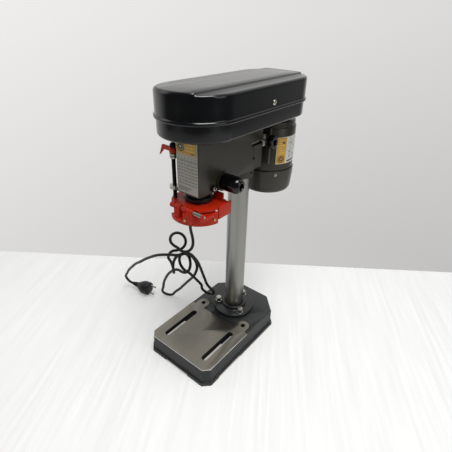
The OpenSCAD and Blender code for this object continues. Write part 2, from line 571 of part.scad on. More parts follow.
module tray_hinge() color([0.05, 0.05, 0.05]) for (y = [-70, 50]) {
  difference() {
    union() {
      rod_y_axis(y, y + 13, hinge_x, hinge_z, 4);
      translate([hinge_x, y, hinge_z - 7.2]) cube([-(cover_half - 1.6) - hinge_x, 13, 4]);
      translate([hinge_x - 3, y, hinge_z - 7.2]) cube([4, 13, 5]);
      rod_y_axis(y + 27, y + 40, hinge_x, hinge_z, 4);
      translate([hinge_x, y + 27, hinge_z - 7.2]) cube([-(cover_half - 1.6) - hinge_x, 13, 4]);
      translate([hinge_x - 3, y + 27, hinge_z - 7.2]) cube([4, 13, 5]);
    }
    rod_y_axis(y - 1, y + 41, hinge_x, hinge_z, 1.8);
  }
  rod_y_axis(y - 1.5, y + 41.5, hinge_x, hinge_z, 1.8);
}
module cover_lid() color([0.03, 0.03, 0.03]) {
  difference() {
    union() {
      cover_plan(0, lid_low, lid_top - lid_low);
      cover_plan(-lip_out, lid_low, 6.2);
      intersection() {
        cover_plan(1, lid_top - 1, panel_rise + 1);
        translate([-panel_half, -300, lid_top - 1]) cube([2 * panel_half, 600, 20]);
      }
    }
    cover_plan(sheet, lid_low - 1, lid_top - sheet - lid_low + 1);
    intersection() {
      cover_plan(1 + sheet, lid_top - 5, panel_rise + 5 - sheet);
      translate([-panel_half + sheet, -300, 500]) cube([2 * (panel_half - sheet), 600, 200]);
    }
    rod_x_axis(60, 90, -4.5, lid_screw_z, 3);
  }
  for (y = [-70, 50]) difference() {
    union() {
      rod_y_axis(y + 13.4, y + 26.6, hinge_x, hinge_z, 4);
      translate([hinge_x, y + 13.4, hinge_z + 1]) cube([-cover_half - hinge_x + 0.5, 13.2, 3]);
    }
    rod_y_axis(y, y + 40, hinge_x, hinge_z, 1.85);
  }
}
module lid_screw() color([0.82, 0.82, 0.8]) {
  rod_x_axis(66, cover_half, -4.5, lid_screw_z, 3);
  rod_x_axis(cover_half, cover_half + 2, -4.5, lid_screw_z, 5.2);
  rod_x_axis(cover_half + 2, cover_half + 3.4, -4.5, lid_screw_z, 3.8);
}

// ---------- belt drive ----------
function cone_steps(rs) = concat([[0, 0]],
  [for (i = [0:4]) let (z = pulley_foot + i * step_h, r = rs[i], q = step_h / 10)
    each [[r, i == 0 ? 0 : z], [r, z + 1.1 * q], [r - 6.5, z + 3 * q], [r - 6.5, z + 7 * q],
      [r, z + 8.9 * q], [r, z + step_h]]],
  [[0, pulley_foot + 5 * step_h]]);
module spindle_pulley() color([0.7, 0.7, 0.72]) at_spindle() difference() {
  union() {
    translate([0, 0, pulley_low]) rotate_extrude($fn = 72) polygon(cone_steps(spindle_steps));
    translate([0, 0, head_top - 13]) cylinder(r = 10, h = pulley_top + 21 - head_top);
    translate([0, 0, head_top - 14.6]) cylinder(r = 12.5, h = 2.3);
    translate([0, 0, head_top + 0.4]) cylinder(r = 13, h = 4);
  }
  translate([0, 0, head_top - 26]) cylinder(r = 6.95, h = 120);
  for (a = [0:60:300]) rotate(a) translate([5, -1.35, head_top - 26]) cube([3.3, 2.7, 120]);
}
module pulley_nut() color([0.65, 0.65, 0.62]) at_spindle() translate([0, 0, pulley_top])
  difference() {
    hex_z(16, 6);
    translate([0, 0, -1]) cylinder(r = 10, h = 10);
  }
module sleeve_bearing() color([0.7, 0.7, 0.7]) at_spindle() translate([0, 0, head_top - 11.8])
  ring(21, 10.05, 11.8);
module belt_loop(o, h) hull() {
  at_spindle() translate([0, 0, belt_z - h / 2]) cylinder(r = spindle_steps[2] + o, h = h);
  at_motor() translate([0, 0, belt_z - h / 2]) cylinder(r = motor_steps[2] + o, h = h);
}
module drive_belt() color([0.06, 0.06, 0.06]) difference() {
  belt_loop(0.3, 4.6);
  belt_loop(-5.3, 8);
}

// ---------- motor ----------
module motor_bracket() color([0.3, 0.29, 0.26]) difference() {
  union() {
    translate([-42, 44, 428]) cube([84, 6, 76]);
    difference() {
      translate([-32, 50, 436]) cube([64, 14, 58]);
      at_motor() translate([0, 0, 400]) cylinder(r = motor_r, h = 120);
    }
  }
  for (s = [-1, 1]) rod_y_axis(40, 50, s * slide_x, slide_z, slide_r);
}
module slide_rods() color([0.75, 0.75, 0.75]) for (s = [-1, 1])
  rod_y_axis(-24, 50, s * slide_x, slide_z, slide_r);
module motor_shell() color([0.3, 0.29, 0.26]) at_motor() translate([0, 0, seam_z])
  ring(motor_r, motor_r - 3, shell_top - seam_z);
module motor_top_cap() color([0.33, 0.32, 0.29]) at_motor() difference() {
  translate([0, 0, shell_top]) rotate_extrude() polygon([[0, 0], [motor_r - 1.1, 0],
    [motor_r - 1.1, 9], [motor_r - 2, 11.4], [motor_r - 4.4, 13], [26, 13], [24, 16], [0, 16]]);
  translate([0, 0, shell_top - 1]) cylinder(r = 9, h = 30);
  translate([0, 0, shell_top - 1]) cylinder(r = 17.5, h = 12);
}
module motor_end_cap() color([0.31, 0.3, 0.27]) at_motor() difference() {
  union() {
    difference() {
      translate([0, 0, motor_bottom]) rotate_extrude() polygon([[0, 0], [motor_r - 9, 0],
        [motor_r - 4.5, 1.4], [motor_r - 1.5, 4.2], [motor_r, 9], [motor_r + 1, 40],
        [motor_r + 1, seam_z - motor_bottom], [0, seam_z - motor_bottom]]);
      translate([0, 0, motor_bottom + 3]) cylinder(r = motor_r - 3, h = 80);
    }
    translate([0, 0, motor_bottom + 3]) cylinder(r = 21, h = 39);
  }
  for (a = cap_screws) rotate(a) rod_x_axis(cap_seat, motor_r + 8, 0, 397, 4.6);
  translate([0, 0, motor_bottom + 8]) cylinder(r = 9, h = 80);
  translate([0, 0, 380]) cylinder(r = 17.5, h = 80);
}
module motor_screws() color([0.8, 0.8, 0.78]) at_motor() for (a = cap_screws) rotate(a)
  rod_x_axis(cap_seat, motor_r + 2.4, 0, 397, 3.6);
module motor_label() color([0.85, 0.83, 0.7]) at_motor() intersection() {
  translate([0, 0, 415]) ring(motor_r + 0.5, motor_r, 65);
  translate([0, 0, 400]) linear_extrude(100) polygon([[0, 0], [76, -64], [140, 0], [96, 54]]);
}
module motor_stator() color([0.45, 0.45, 0.47]) at_motor() translate([0, 0, 424])
  ring(motor_r - 3, 32.5, 60);
module motor_windings() color([0.6, 0.32, 0.15]) at_motor() for (z = [414, 484])
  translate([0, 0, z]) ring(50, 35, 10);
module motor_bearings() color([0.7, 0.7, 0.7]) at_motor() {
  translate([0, 0, 380]) ring(17.5, 7.05, 11);
  translate([0, 0, shell_top]) ring(17.5, 7.05, 11);
}
module motor_rotor() color([0.62, 0.62, 0.63]) at_motor() {
  translate([0, 0, 366]) cylinder(r = 7, h = pulley_top - 2 - 366);
  translate([0, 0, 428]) ring(31.7, 7, 52);
}
module motor_fan() color([0.15, 0.15, 0.15]) at_motor() {
  translate([0, 0, 395]) ring(14, 7, 14);
  translate([0, 0, 395]) ring(46, 10, 2);
  for (a = [0:45:315]) rotate(a) translate([12, -1, 396]) cube([33, 2, 12]);
}
module motor_pulley() color([0.7, 0.7, 0.72]) at_motor() difference() {
  translate([0, 0, pulley_low]) rotate_extrude($fn = 72) polygon(cone_steps(motor_steps));
  translate([0, 0, pulley_low - 1]) cylinder(r = 7, h = pulley_top - 1 - pulley_low);
}

base_casting();
column_flange();
flange_bolts();
column_tube();
head_casting();
head_set_screws();
front_label();
quill_guide_screw();
cover_tray();
tray_screws();
tray_hinge();
sleeve_bearing();
spring_cup();
clock_spring();
rod_clamp();
switch_box();
switch_block();
cord_gland();
drive_belt();
mains_cord();
plug_body();
plug_pins();
quill();
quill_bearings();
depth_rod();
depth_nuts();
depth_pointer();
guard_ring();
guard_bracket();
guard_clamp_screw();
guard_pin();
guard_spring();
spindle();
guard_skirt();
guard_screws();
pinion_shaft();
feed_hub();
hub_screw();
cover_lid();
lid_screw();
belt_lock_knob();
start_button();
stop_button();
spindle_pulley();
pulley_nut();
motor_bracket();
slide_rods();
motor_shell();
motor_top_cap();
motor_end_cap();
motor_screws();
motor_label();
motor_stator();
motor_windings();
motor_bearings();
motor_rotor();
motor_fan();
motor_pulley();
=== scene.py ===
import math

import bmesh
import bpy
from mathutils import Matrix, Vector


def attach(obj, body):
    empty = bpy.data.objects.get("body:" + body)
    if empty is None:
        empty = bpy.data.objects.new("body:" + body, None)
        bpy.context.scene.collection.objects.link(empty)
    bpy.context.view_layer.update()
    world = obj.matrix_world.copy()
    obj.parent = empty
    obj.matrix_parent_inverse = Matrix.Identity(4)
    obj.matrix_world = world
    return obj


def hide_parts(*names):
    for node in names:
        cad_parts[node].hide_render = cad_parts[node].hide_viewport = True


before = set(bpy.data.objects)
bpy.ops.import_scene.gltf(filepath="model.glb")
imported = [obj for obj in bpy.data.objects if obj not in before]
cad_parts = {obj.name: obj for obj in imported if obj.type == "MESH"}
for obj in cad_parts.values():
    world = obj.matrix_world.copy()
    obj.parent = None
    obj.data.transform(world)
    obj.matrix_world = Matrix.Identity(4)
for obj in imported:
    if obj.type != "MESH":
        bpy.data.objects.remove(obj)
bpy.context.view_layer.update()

# ---------------------------------------------------------------- camera
# Stands at the front right of the machine and looks down on it. Its place is in metres in
# the machine's own frame: column axis at x = y = 0, floor at z = 0, front towards -Y.
EYE = Vector((0.43657, -0.59605, 0.70796))
YAW, PITCH, ROLL = (math.radians(angle) for angle in (-38.16, -30.06, 1.39))


def put(name, data):
    """Puts a new object with its data into the scene."""
    made = bpy.data.objects.new(name, data)
    bpy.context.scene.collection.objects.link(made)
    return made


ahead = Vector((math.sin(YAW) * math.cos(PITCH), math.cos(YAW) * math.cos(PITCH), math.sin(PITCH)))
level = ahead.cross(Vector((0, 0, 1))).normalized()
upward = level.cross(ahead)
right = math.cos(ROLL) * level + math.sin(ROLL) * upward
over = math.cos(ROLL) * upward - math.sin(ROLL) * level
lens = bpy.data.cameras.new("camera")
lens.lens, lens.sensor_width = 29.63, 36
camera = put("camera", lens)
camera.matrix_world = Matrix.Translation(EYE) @ Matrix((right, over, -ahead)).transposed().to_4x4()
bpy.context.scene.camera = camera
bpy.context.scene.view_settings.view_transform = "Standard"

# ---------------------------------------------------------------- mains cord and its plug
# A 7 mm round PVC mains lead. It leaves the strain relief under the switch box, hangs to a
# hand-tied bundle beside the column, and ends in a moulded two-pin earthed plug.
SHEATH = 3.5
GLAND = (-54, -56)
ROUTE = [
    (-54, -56, 428), (-54.6, -56, 416.1), (-56.9, -55.9, 404.3), (-60, -56.2, 392.7),
    (-63.4, -56.8, 381.3), (-66.8, -57.5, 369.8), (-69.6, -58.2, 358.2), (-72, -58.8, 346.5),
    (-74.2, -59.6, 334.7), (-76.2, -60.5, 323), (-78.1, -61.8, 311.2), (-80.1, -63.7, 299.6),
    (-81.9, -65.6, 287.9), (-83, -67.1, 276.1), (-81.6, -66.6, 264.3), (-78.8, -66.1, 252.7),
    (-76.2, -66.9, 241), (-75.4, -69.3, 229.4), (-78.5, -74.6, 219.3), (-86.4, -81.6, 214),
    (-97.4, -85.9, 214.4), (-108.2, -87.1, 219.2), (-118.9, -90.2, 223.7), (-128.6, -89.5, 230.3),
    (-133.7, -82.5, 238.1), (-131.4, -72.1, 242.9), (-123.8, -63.2, 241.9), (-115, -58.6, 235.5),
    (-109.1, -58.3, 225.2), (-108.5, -61.8, 214), (-112.8, -68.9, 205.5), (-120.4, -77.1, 201.4),
    (-129, -84.9, 199), (-134.7, -91.1, 190.8), (-136.7, -92.2, 179.2), (-135.5, -87.7, 168.3),
    (-130.3, -87.1, 157.7), (-121.9, -91.6, 150.9), (-112.7, -99, 151.1), (-106.3, -105.4, 158.6),
    (-104.8, -107.4, 170), (-107.9, -103.7, 180.8), (-111.6, -95, 188), (-110.2, -84.9, 194),
    (-103.3, -76.1, 197.7), (-94.7, -68.1, 196.1), (-87.8, -60.7, 189.8), (-84.3, -55.5, 179.7),
    (-81.6, -52.4, 168.5), (-80.7, -50.4, 156.7), (-83.4, -48.9, 145.2), (-87.8, -47.9, 134.1),
    (-92.9, -47, 123.3), (-99.1, -46.4, 113.1), (-106.3, -46, 103.6), (-113.7, -45.5, 94.2),
    (-121.3, -45, 84.9), (-128.6, -44.6, 75.5), (-135.9, -44.1, 66), (-143.2, -43.8, 56.5),
    (-150.4, -43.6, 46.9), (-158.1, -44.1, 37.8), (-166.2, -45.5, 29.1), (-173.6, -46.2, 19.7),
    (-180.5, -46.2, 10.1), (-190.6, -49.7, 5.1), (-200.1, -56, 7.7), (-204, -62.2, 16.9),
    (-201.4, -65.3, 27.9), (-196.3, -66.2, 38.7), (-192.5, -67.9, 50), (-188.3, -69.5, 61),
    (-183.1, -71.2, 71.7), (-177.3, -72.8, 82.1), (-171.1, -74.3, 92.2), (-164.6, -75.9, 102.1),
    (-157.6, -77.4, 111.7), (-149.9, -78.9, 120.8), (-141.7, -80.1, 129.3), (-132.7, -80.6, 137.3),
    (-122.9, -81, 144), (-111.5, -81.4, 147.6), (-100.3, -84.4, 150.2), (-88.9, -83.2, 152.9),
    (-81.5, -78.8, 160.9), (-81.3, -73.4, 171.4), (-87.2, -67.4, 179.8), (-96.1, -62.8, 186.2),
    (-107.7, -62.1, 188.4), (-118.2, -64.2, 183.7), (-123.1, -67.6, 173.6), (-120.3, -70.6, 162.6),
    (-111.5, -73.5, 155.3), (-101.4, -73.7, 149.2), (-93.4, -68.2, 142.3), (-87.8, -62.5, 133.5),
    (-83.8, -56.8, 123.7), (-80.6, -51, 113.7), (-77.4, -45.2, 103.8), (-76.2, -39.6, 93.4),
    (-80, -35.4, 82.9), (-81.5, -30.8, 72.1), (-76.2, -25.4, 63.1), (-65.8, -21.2, 59.8),
    (-54.9, -20.4, 64), (-48.8, -23, 73.7), (-49.8, -27.6, 84.4), (-56.7, -32.1, 93.1),
    (-61.5, -35.9, 103.3), (-62.8, -39.3, 114.7), (-63.7, -42.6, 126.1), (-65, -45.9, 137.6),
    (-66.5, -48.9, 149.1), (-68.2, -51.9, 160.5), (-70.3, -55, 171.9), (-73.3, -58.9, 182.8),
    (-77.7, -63.7, 192.8), (-84, -68.7, 201.5), (-91.9, -76.9, 204.9), (-98.6, -86.5, 202.6),
    (-107.3, -94.5, 201.9), (-117.4, -101, 201.8), (-128, -106.3, 200), (-138.8, -110.6, 197.2),
    (-149.5, -113.9, 193.2), (-159.9, -115.7, 187.5), (-169.9, -116.5, 180.9),
    (-179.7, -117.2, 174.1), (-189.4, -117.8, 167.1), (-198.8, -118.1, 159.7),
    (-207.9, -118.2, 152), (-217.1, -117.9, 144.3), (-226.6, -117.1, 137), (-236, -116.3, 129.6),
    (-244.8, -115.5, 121.6), (-253.2, -114.8, 113.1), (-261.5, -113.9, 104.5),
    (-269.9, -112.8, 96), (-278, -111.5, 87.3), (-285.7, -110, 78.3), (-292.9, -108.2, 68.9),
    (-300.1, -106.3, 59.5), (-307.6, -104.4, 50.3), (-313.5, -102.1, 40.3), (-313.2, -98.8, 29),
    (-306, -95.3, 20.4), (-294.6, -92.6, 18.5)
]
# Socket numbers of the Mix node: the factor, two colours and their mix, and two levels.
FACTOR, COLOUR_A, COLOUR_B, COLOUR_MIX, LEVEL_A, LEVEL_B = 0, 6, 7, 2, 2, 3


def colour(code):
    """An sRGB hex code as the linear colour that a socket takes."""
    parts = [int(code[i:i + 2], 16) / 255 for i in (0, 2, 4)]
    return (*[p / 12.92 if p <= 0.04045 else ((p + 0.055) / 1.055) ** 2.4 for p in parts], 1)


def add(tree, kind, values=(), links=(), **settings):
    """Adds one node to a tree, with its settings, its sockets' values and its links."""
    made = tree.nodes.new("ShaderNode" + kind)
    for name, value in settings.items():
        setattr(made, name, value)
    for socket, value in dict(values).items():
        made.inputs[socket].default_value = value
    for socket, source in dict(links).items():
        tree.links.new(source, made.inputs[socket])
    return made


def surface(name, code, other, patch, rough, grain=1, height=0, metal=0, stretch=(1, 1, 1),
            turned=0):
    """A finish that drifts between two colours over patches of some mm, and between two
    roughnesses over its grain. The grain, in mm, also stands up by its height in mm."""
    made = bpy.data.materials.new(name)
    made.use_nodes = True
    tree = made.node_tree
    shade = tree.nodes["Principled BSDF"]
    shade.inputs["Metallic"].default_value = metal
    place = add(tree, "TexCoord").outputs["Object"]
    spun = add(tree, "Mapping", {"Rotation": (0, 0, math.radians(turned))}, {"Vector": place})
    drawn = add(tree, "Mapping", {"Scale": stretch}, {"Vector": spun.outputs[0]}).outputs[0]
    drift = add(tree, "TexNoise", {"Scale": 1000 / patch, "Detail": 4}, {"Vector": drawn})
    tint = add(tree, "Mix", {COLOUR_A: colour(code), COLOUR_B: colour(other)},
               {FACTOR: drift.outputs[0]}, data_type="RGBA")
    fine = add(tree, "TexNoise", {"Scale": 1000 / grain, "Detail": 3}, {"Vector": drawn})
    gloss = add(tree, "MapRange", {"To Min": rough[0], "To Max": rough[1]},
                {"Value": fine.outputs[0]})
    tree.links.new(tint.outputs[COLOUR_MIX], shade.inputs["Base Color"])
    tree.links.new(gloss.outputs[0], shade.inputs["Roughness"])
    if height:
        raised = add(tree, "Bump", {"Strength": 1, "Distance": height / 1000},
                     {"Height": fine.outputs[0]})
        tree.links.new(raised.outputs[0], shade.inputs["Normal"])
    return made


def piece(name, shape, body, materials, stands_for=(), sharp=30):
    """Makes a shape drawn in mm a finished piece in metres, riding on a body."""
    bmesh.ops.scale(shape, vec=(0.001,) * 3, verts=shape.verts)
    mesh = bpy.data.meshes.new(name)
    shape.to_mesh(mesh)
    shape.free()
    made = put(name, mesh)
    for material in materials:
        mesh.materials.append(material)
    mesh.shade_smooth()
    mesh.set_sharp_from_angle(angle=math.radians(sharp))
    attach(made, body)
    if stands_for:
        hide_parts(*stands_for)
    return made


def at(place, angle=0, axis="Z"):
    """A turn by an angle in degrees about an axis, and then a move to a place."""
    return Matrix.Translation(place) @ Matrix.Rotation(math.radians(angle), 4, axis)


def turn(shape, profile, centre=(0, 0, 0), axis="Z", steps=64, finish=0):
    """Turns a profile of (radius, height) points about an axis, as on a lathe."""
    before = set(shape.verts)
    points = [shape.verts.new((radius, 0, height)) for radius, height in profile]
    edges = [shape.edges.new(pair) for pair in zip(points, points[1:])]
    bmesh.ops.spin(shape, geom=points + edges, cent=(0, 0, 0), axis=(0, 0, 1),
                   angle=2 * math.pi, steps=steps, use_merge=True)
    made = [v for v in shape.verts if v not in before]
    tilt = {"X": (90, "Y"), "Y": (-90, "X"), "Z": (0, "Z")}[axis]
    bmesh.ops.transform(shape, matrix=at(centre, *tilt), verts=made)
    bmesh.ops.remove_doubles(shape, verts=made, dist=1e-4)
    faces = list({f for v in made if v.is_valid for f in v.link_faces})
    bmesh.ops.recalc_face_normals(shape, faces=faces)
    for face in faces:
        face.material_index = finish
    return faces


def prism(shape, radius, depth, place, sides=6, finish=0):
    """A hexagon, or a bar with more sides, about the axis of its place."""
    made = bmesh.ops.create_cone(shape, cap_ends=True, segments=sides, radius1=radius,
                                 radius2=radius, depth=depth, matrix=place)["verts"]
    for face in {f for v in made for f in v.link_faces}:
        face.material_index = finish


def soften(shape, width, steps=2, angle=30, keep=None):
    """Rounds the sharp edges of a shape, or those of them that keep picks."""
    sharp = [e for e in shape.edges if e.is_manifold
             and e.calc_face_angle() > math.radians(angle) and (keep is None or keep(e))]
    bmesh.ops.bevel(shape, geom=sharp, offset=width, offset_type="OFFSET", segments=steps,
                    profile=0.5, affect="EDGES", clamp_overlap=True, material=-1)


# PVC: moulded smooth but slightly matt, so it shows a soft line of light along each bend.
pvc = surface("extruded black PVC", "0b0d0e", "15181a", 30, (0.32, 0.5), 0.8, 0.05)
line = bpy.data.curves.new("mains_lead", "CURVE")
line.dimensions, line.bevel_depth, line.bevel_resolution = "3D", SHEATH / 1000, 5
line.resolution_u, line.use_fill_caps = 5, True
spline = line.splines.new("BEZIER")
spline.bezier_points.add(len(ROUTE) - 1)
for point, place in zip(spline.bezier_points, ROUTE):
    point.co = Vector(place) / 1000
    point.handle_left_type = point.handle_right_type = "AUTO"
line.materials.append(pvc)
lead = put("mains_lead", line)
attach(lead, "stand")
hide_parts("mains_cord")

# The plug is one soft moulding on the lead: a thick round face with a grip groove, a tapering
# shoulder, and a ribbed sleeve that keeps the lead from kinking.
PLUG_AXIS = at((-240, -80, 18.5), 13)
moulded = surface("moulded black PVC", "15181a", "202325", 12, (0.38, 0.55), 0.9, 0.05)
sleeve = [(7.9 - 0.42 * rib - groove, 38.4 + 2.2 * rib + rise) for rib in range(8)
          for groove, rise in ((0, 0), (0, 1.1), (1.2, 1.3), (1.2, 2))]
shape = bmesh.new()
turn(shape, [(0, 0), (16.6, 0), (18, 0.6), (18.5, 2), (18.5, 8), (17.6, 9), (17.6, 10.2),
             (18.5, 11.2), (18.5, 17), (17.8, 20), (16.4, 24), (13.6, 29), (10.8, 33.5),
             (8.6, 38)] + sleeve + [(4.4, 56), (0, 56)], steps=40)
bmesh.ops.transform(shape, matrix=PLUG_AXIS @ at((0, 0, 0), -90, "Y"), verts=shape.verts)
plug = piece("plug_moulding", shape, "stand", [moulded], ["plug_body"])

# Plug pins: turned brass, nickel plated, with domed ends.
nickel = surface("nickel plated brass", "c9c6bd", "b3afa5", 8, (0.16, 0.28), 0.5, 0.004, 1)
shape = bmesh.new()
for side in (-1, 1):
    turn(shape, [(0, -1), (2.4, -1), (2.4, 17), (2, 18.3), (1.1, 19), (0, 19)],
         (side * -7.5, side * 6, 0), steps=20)
bmesh.ops.transform(shape, matrix=PLUG_AXIS @ at((0, 0, 0), 90, "Y"), verts=shape.verts)
pins = piece("plug_pin_pair", shape, "stand", [nickel], ["plug_pins"])

# Strain relief: a tapered ribbed sleeve with a hexagon nut, screwed into the switch box.
sleeve = [(4.4 + 0.115 * (2.9 * rib + rise) - groove, 428 + 2.9 * rib + rise)
          for rib in range(7) for groove, rise in ((0, 0.2), (0, 1.7), (0.9, 1.9), (0.9, 2.8))]
shape = bmesh.new()
turn(shape, [(0, 428), (4.3, 428)] + sleeve + [(7, 449), (7, 450.5), (0, 450.5)],
     (*GLAND, 0), steps=32)
prism(shape, 9, 8, at((*GLAND, 454)))
piece("strain_relief", shape, "stand", [moulded], ["cord_gland"])

# ---------------------------------------------------------------- floor, room and light
# A pale laminate floor that ends a little behind the machine, a pale room, and soft lamps.
# Laminate: printed grain under a satin lacquer, so close to white that only long faint
# streaks show.
FLOOR_EDGE, FLOOR_TURN, BOARDS_TURN = (-0.186, 0.176, 0), 35.87, -31.5
FLOOR_WIDE, FLOOR_DEEP = 3.6, 1.9
laminate = surface("pale satin laminate boards", "f6f6f4", "cfd0cc", 9, (0.42, 0.58), 6, 0, 0,
                   (1, 0.04, 1), BOARDS_TURN)

# The floor glows a little towards the camera, and less in reflections, as if a whole room lit it.
tree = laminate.node_tree
shade = tree.nodes["Principled BSDF"]
seen = add(tree, "LightPath")
to_camera = add(tree, "Math", {1: 0.28}, {0: seen.outputs["Is Camera Ray"]}, operation="MULTIPLY")
lift = add(tree, "Math", {1: 0.1}, {0: seen.outputs["Is Glossy Ray"], 2: to_camera.outputs[0]},
           operation="MULTIPLY_ADD")
shade.inputs["Emission Color"].default_value = colour("ffffff")
tree.links.new(lift.outputs[0], shade.inputs["Emission Strength"])
shape = bmesh.new()
bmesh.ops.create_grid(shape, x_segments=1, y_segments=1, size=0.5)
bmesh.ops.scale(shape, vec=(FLOOR_WIDE, FLOOR_DEEP, 1), verts=shape.verts)
bmesh.ops.translate(shape, vec=(0, -FLOOR_DEEP / 2, 0), verts=shape.verts)
bmesh.ops.transform(shape, matrix=at(FLOOR_EDGE, FLOOR_TURN), verts=shape.verts)
sheet = bpy.data.meshes.new("floor")
shape.to_mesh(sheet)
shape.free()
sheet.materials.append(laminate)
stage = put("floor", sheet)

# The room beyond the floor looks pale grey, lightest at its upper left. Only its part behind
# the machine sends light back, as a near wall does, and more of it into glossy surfaces than
# into matt ones. The rest is dark, which keeps dark paints deep.
TO_WALL, ALONG_WALL, UP = (-0.618, 0.786, 0), (0.786, 0.618, 0), (0, 0, 1)
world = bpy.data.worlds.new("studio")
bpy.context.scene.world = world
world.use_nodes = True
tree = world.node_tree
room = tree.nodes["Background"]
room.inputs["Color"].default_value = colour("fffefc")
ray = add(tree, "TexCoord").outputs["Generated"]


def part_of(direction, low, high, at_low, at_high):
    """A value that runs between two levels as a ray turns towards a direction."""
    turned = add(tree, "VectorMath", {1: direction}, {0: ray}, operation="DOT_PRODUCT")
    return add(tree, "MapRange", {"From Min": low, "From Max": high, "To Min": at_low,
                                  "To Max": at_high}, {"Value": turned.outputs["Value"]}).outputs[0]


pale = add(tree, "Math", {}, {0: part_of(ALONG_WALL, -0.5, 0.5, 0.7, 0.54),
                              1: part_of(UP, -0.5, 0, 0, 0.16)}, operation="ADD")
near_wall = add(tree, "Math", {}, {0: part_of(TO_WALL, -0.1, 0.3, 0, 1),
                                   1: part_of(ALONG_WALL, 0.65, 1, 1, 0)}, operation="MULTIPLY")
seen = add(tree, "LightPath")
strong = add(tree, "MapRange", {"To Min": 0.3, "To Max": 0.72},
             {"Value": seen.outputs["Is Glossy Ray"]})
lit = add(tree, "Math", {2: 0.09}, {0: near_wall.outputs[0], 1: strong.outputs[0]},
          operation="MULTIPLY_ADD")
bright = add(tree, "Mix", {}, {FACTOR: seen.outputs["Is Camera Ray"], LEVEL_A: lit.outputs[0],
                               LEVEL_B: pale.outputs[0]}, data_type="FLOAT")
tree.links.new(bright.outputs[0], room.inputs["Strength"])


def lamp(name, place, aim, width, depth, power):
    """A soft rectangular lamp that looks at a point."""
    light = bpy.data.lights.new(name, "AREA")
    light.shape, light.size, light.size_y, light.energy = "RECTANGLE", width, depth, power
    made = put(name, light)
    made.location = place
    made.rotation_euler = (Vector(aim) - Vector(place)).to_track_quat("-Z", "Y").to_euler()


lamp("overhead", (0.45, -0.25, 2.2), (0, -0.1, 0.2), 1, 1, 31)
lamp("right_window", (1.7, 0.1, 1.1), (0, 0, 0.3), 0.9, 1.3, 5)
lamp("left_window", (-1.5, -1.1, 1.4), (-0.7, -0.2, 0.5), 0.9, 1.3, 3)

# ---------------------------------------------------------------- base
# One iron casting, painted charcoal, with its top ground flat and bare for the work. It is
# bolted to the bench through the two ears; the slots take clamps.
BASE_TOP, EAR_TOP, TABLE_REAR = 45, 8, -60
HALF_WIDTH, FRONT, REAR, CUT_CORNER = 88.5, -207.5, 82.5, 131
SLOTS_FRONT, SLOTS_REAR, SLOTS_HALF_WIDTH = -196, -62, 78
PAINTED, GROUND, SHADED_INSIDE, CHAMFER, LIT_LEDGE = range(5)
casting_paint = surface("charcoal enamel on cast iron", "212425", "2a2d2e", 26, (0.36, 0.5),
                        2.2, 0.09)
ground_iron = surface("surface-ground cast iron", "97938a", "837f76", 14, (0.3, 0.46), 0.8,
                      0.01, 1, (1, 0.05, 1))
# Inside the slots and in the hollow under the table the iron is near black: painted shade.
slot_painted_shade = surface("iron inside the slots, painted with shade", "0f1011", "161717", 12, (0.6, 0.8),
                   1.6, 0.08)
# The milled chamfer along the table's front and sides is near white: a painted highlight on its
# edge.
chamfer_painted_highlight = surface("milled chamfer painted with a highlight", "ffffff", "f4f4f1", 10, (0.3, 0.4), 0.8, 0.01,
                      0.1)
# The slots' ledges are near white: a painted pool of light through the slots.
slot_ledge_painted_light = surface("ledge in the clamping slots, painted as light", "d8d6d0", "c6c3bb", 8, (0.4, 0.5),
                      0.8, 0.01, 1)


def traced(node):
    """A merged copy of a construction solid in mm, with its flat faces rejoined."""
    shape = bmesh.new()
    shape.from_mesh(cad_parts[node].data)
    bmesh.ops.scale(shape, vec=(1000,) * 3, verts=shape.verts)
    bmesh.ops.remove_doubles(shape, verts=shape.verts, dist=0.002)
    bmesh.ops.dissolve_limit(shape, angle_limit=math.radians(1), verts=shape.verts,
                             edges=shape.edges)
    return shape


def bar(shape, low, high, finish=0):
    """A rectangular bar between two corners."""
    made = bmesh.ops.create_cube(shape, size=1)["verts"]
    bmesh.ops.scale(shape, vec=Vector(high) - Vector(low), verts=made)
    bmesh.ops.translate(shape, vec=(Vector(low) + Vector(high)) / 2, verts=made)
    for face in {f for v in made for f in v.link_faces}:
        face.material_index = finish
    return made


def on_rim(vert):
    """Whether a point is on the base's outline, at the height of its top or of its ears."""
    x, y, z = abs(vert.co.x), vert.co.y, vert.co.z
    outward = max(x / HALF_WIDTH, y / FRONT, y / REAR, (x + y) / CUT_CORNER)
    return outward > 0.985 and (abs(z - EAR_TOP) < 0.1 or z > BASE_TOP - 0.3)


shape = traced("base_casting")
soften(shape, 1.6, 3, 30, lambda e: all(on_rim(v) for v in e.verts))
for face in shape.faces:
    spot = face.calc_center_median()
    on_top, in_table = spot.z > BASE_TOP - 1.1, spot.y < TABLE_REAR
    by_slots = SLOTS_FRONT < spot.y < SLOTS_REAR and abs(spot.x) < SLOTS_HALF_WIDTH
    beside_flange = abs(spot.x) > 48 and spot.z > BASE_TOP - 0.15
    # The sloped faces of the table's edge take the painted highlight.
    if on_top and in_table and 0.2 < face.normal.z < 0.97:
        face.material_index = CHAMFER
    # Faces inside the slots and the base's hollow take the painted shade.
    elif by_slots and not on_top and spot.z > 2:
        face.material_index = SHADED_INSIDE
    elif on_top and (in_table or beside_flange):
        face.material_index = GROUND
    else:
        face.material_index = PAINTED

# Each clamping slot holds a narrow ledge with round ends, a little below the table. Its near-white
# colour is a painted pool of the light that falls through the slot.
for x, y in ((-53.6, -184), (61.4, -183)):
    ledge = bar(shape, (x - 2.9, y, 38), (x + 2.9, y + 60, 44.2), LIT_LEDGE)
    upright = [e for e in {e for v in ledge for e in v.link_edges}
               if abs(e.verts[0].co.z - e.verts[1].co.z) > 2]
    bmesh.ops.bevel(shape, geom=upright, offset=2.2, offset_type="OFFSET", segments=6,
                    profile=0.5, affect="EDGES", material=-1)
piece("base", shape, "stand",
      [casting_paint, ground_iron, slot_painted_shade, chamfer_painted_highlight, slot_ledge_painted_light], ["base_casting"])

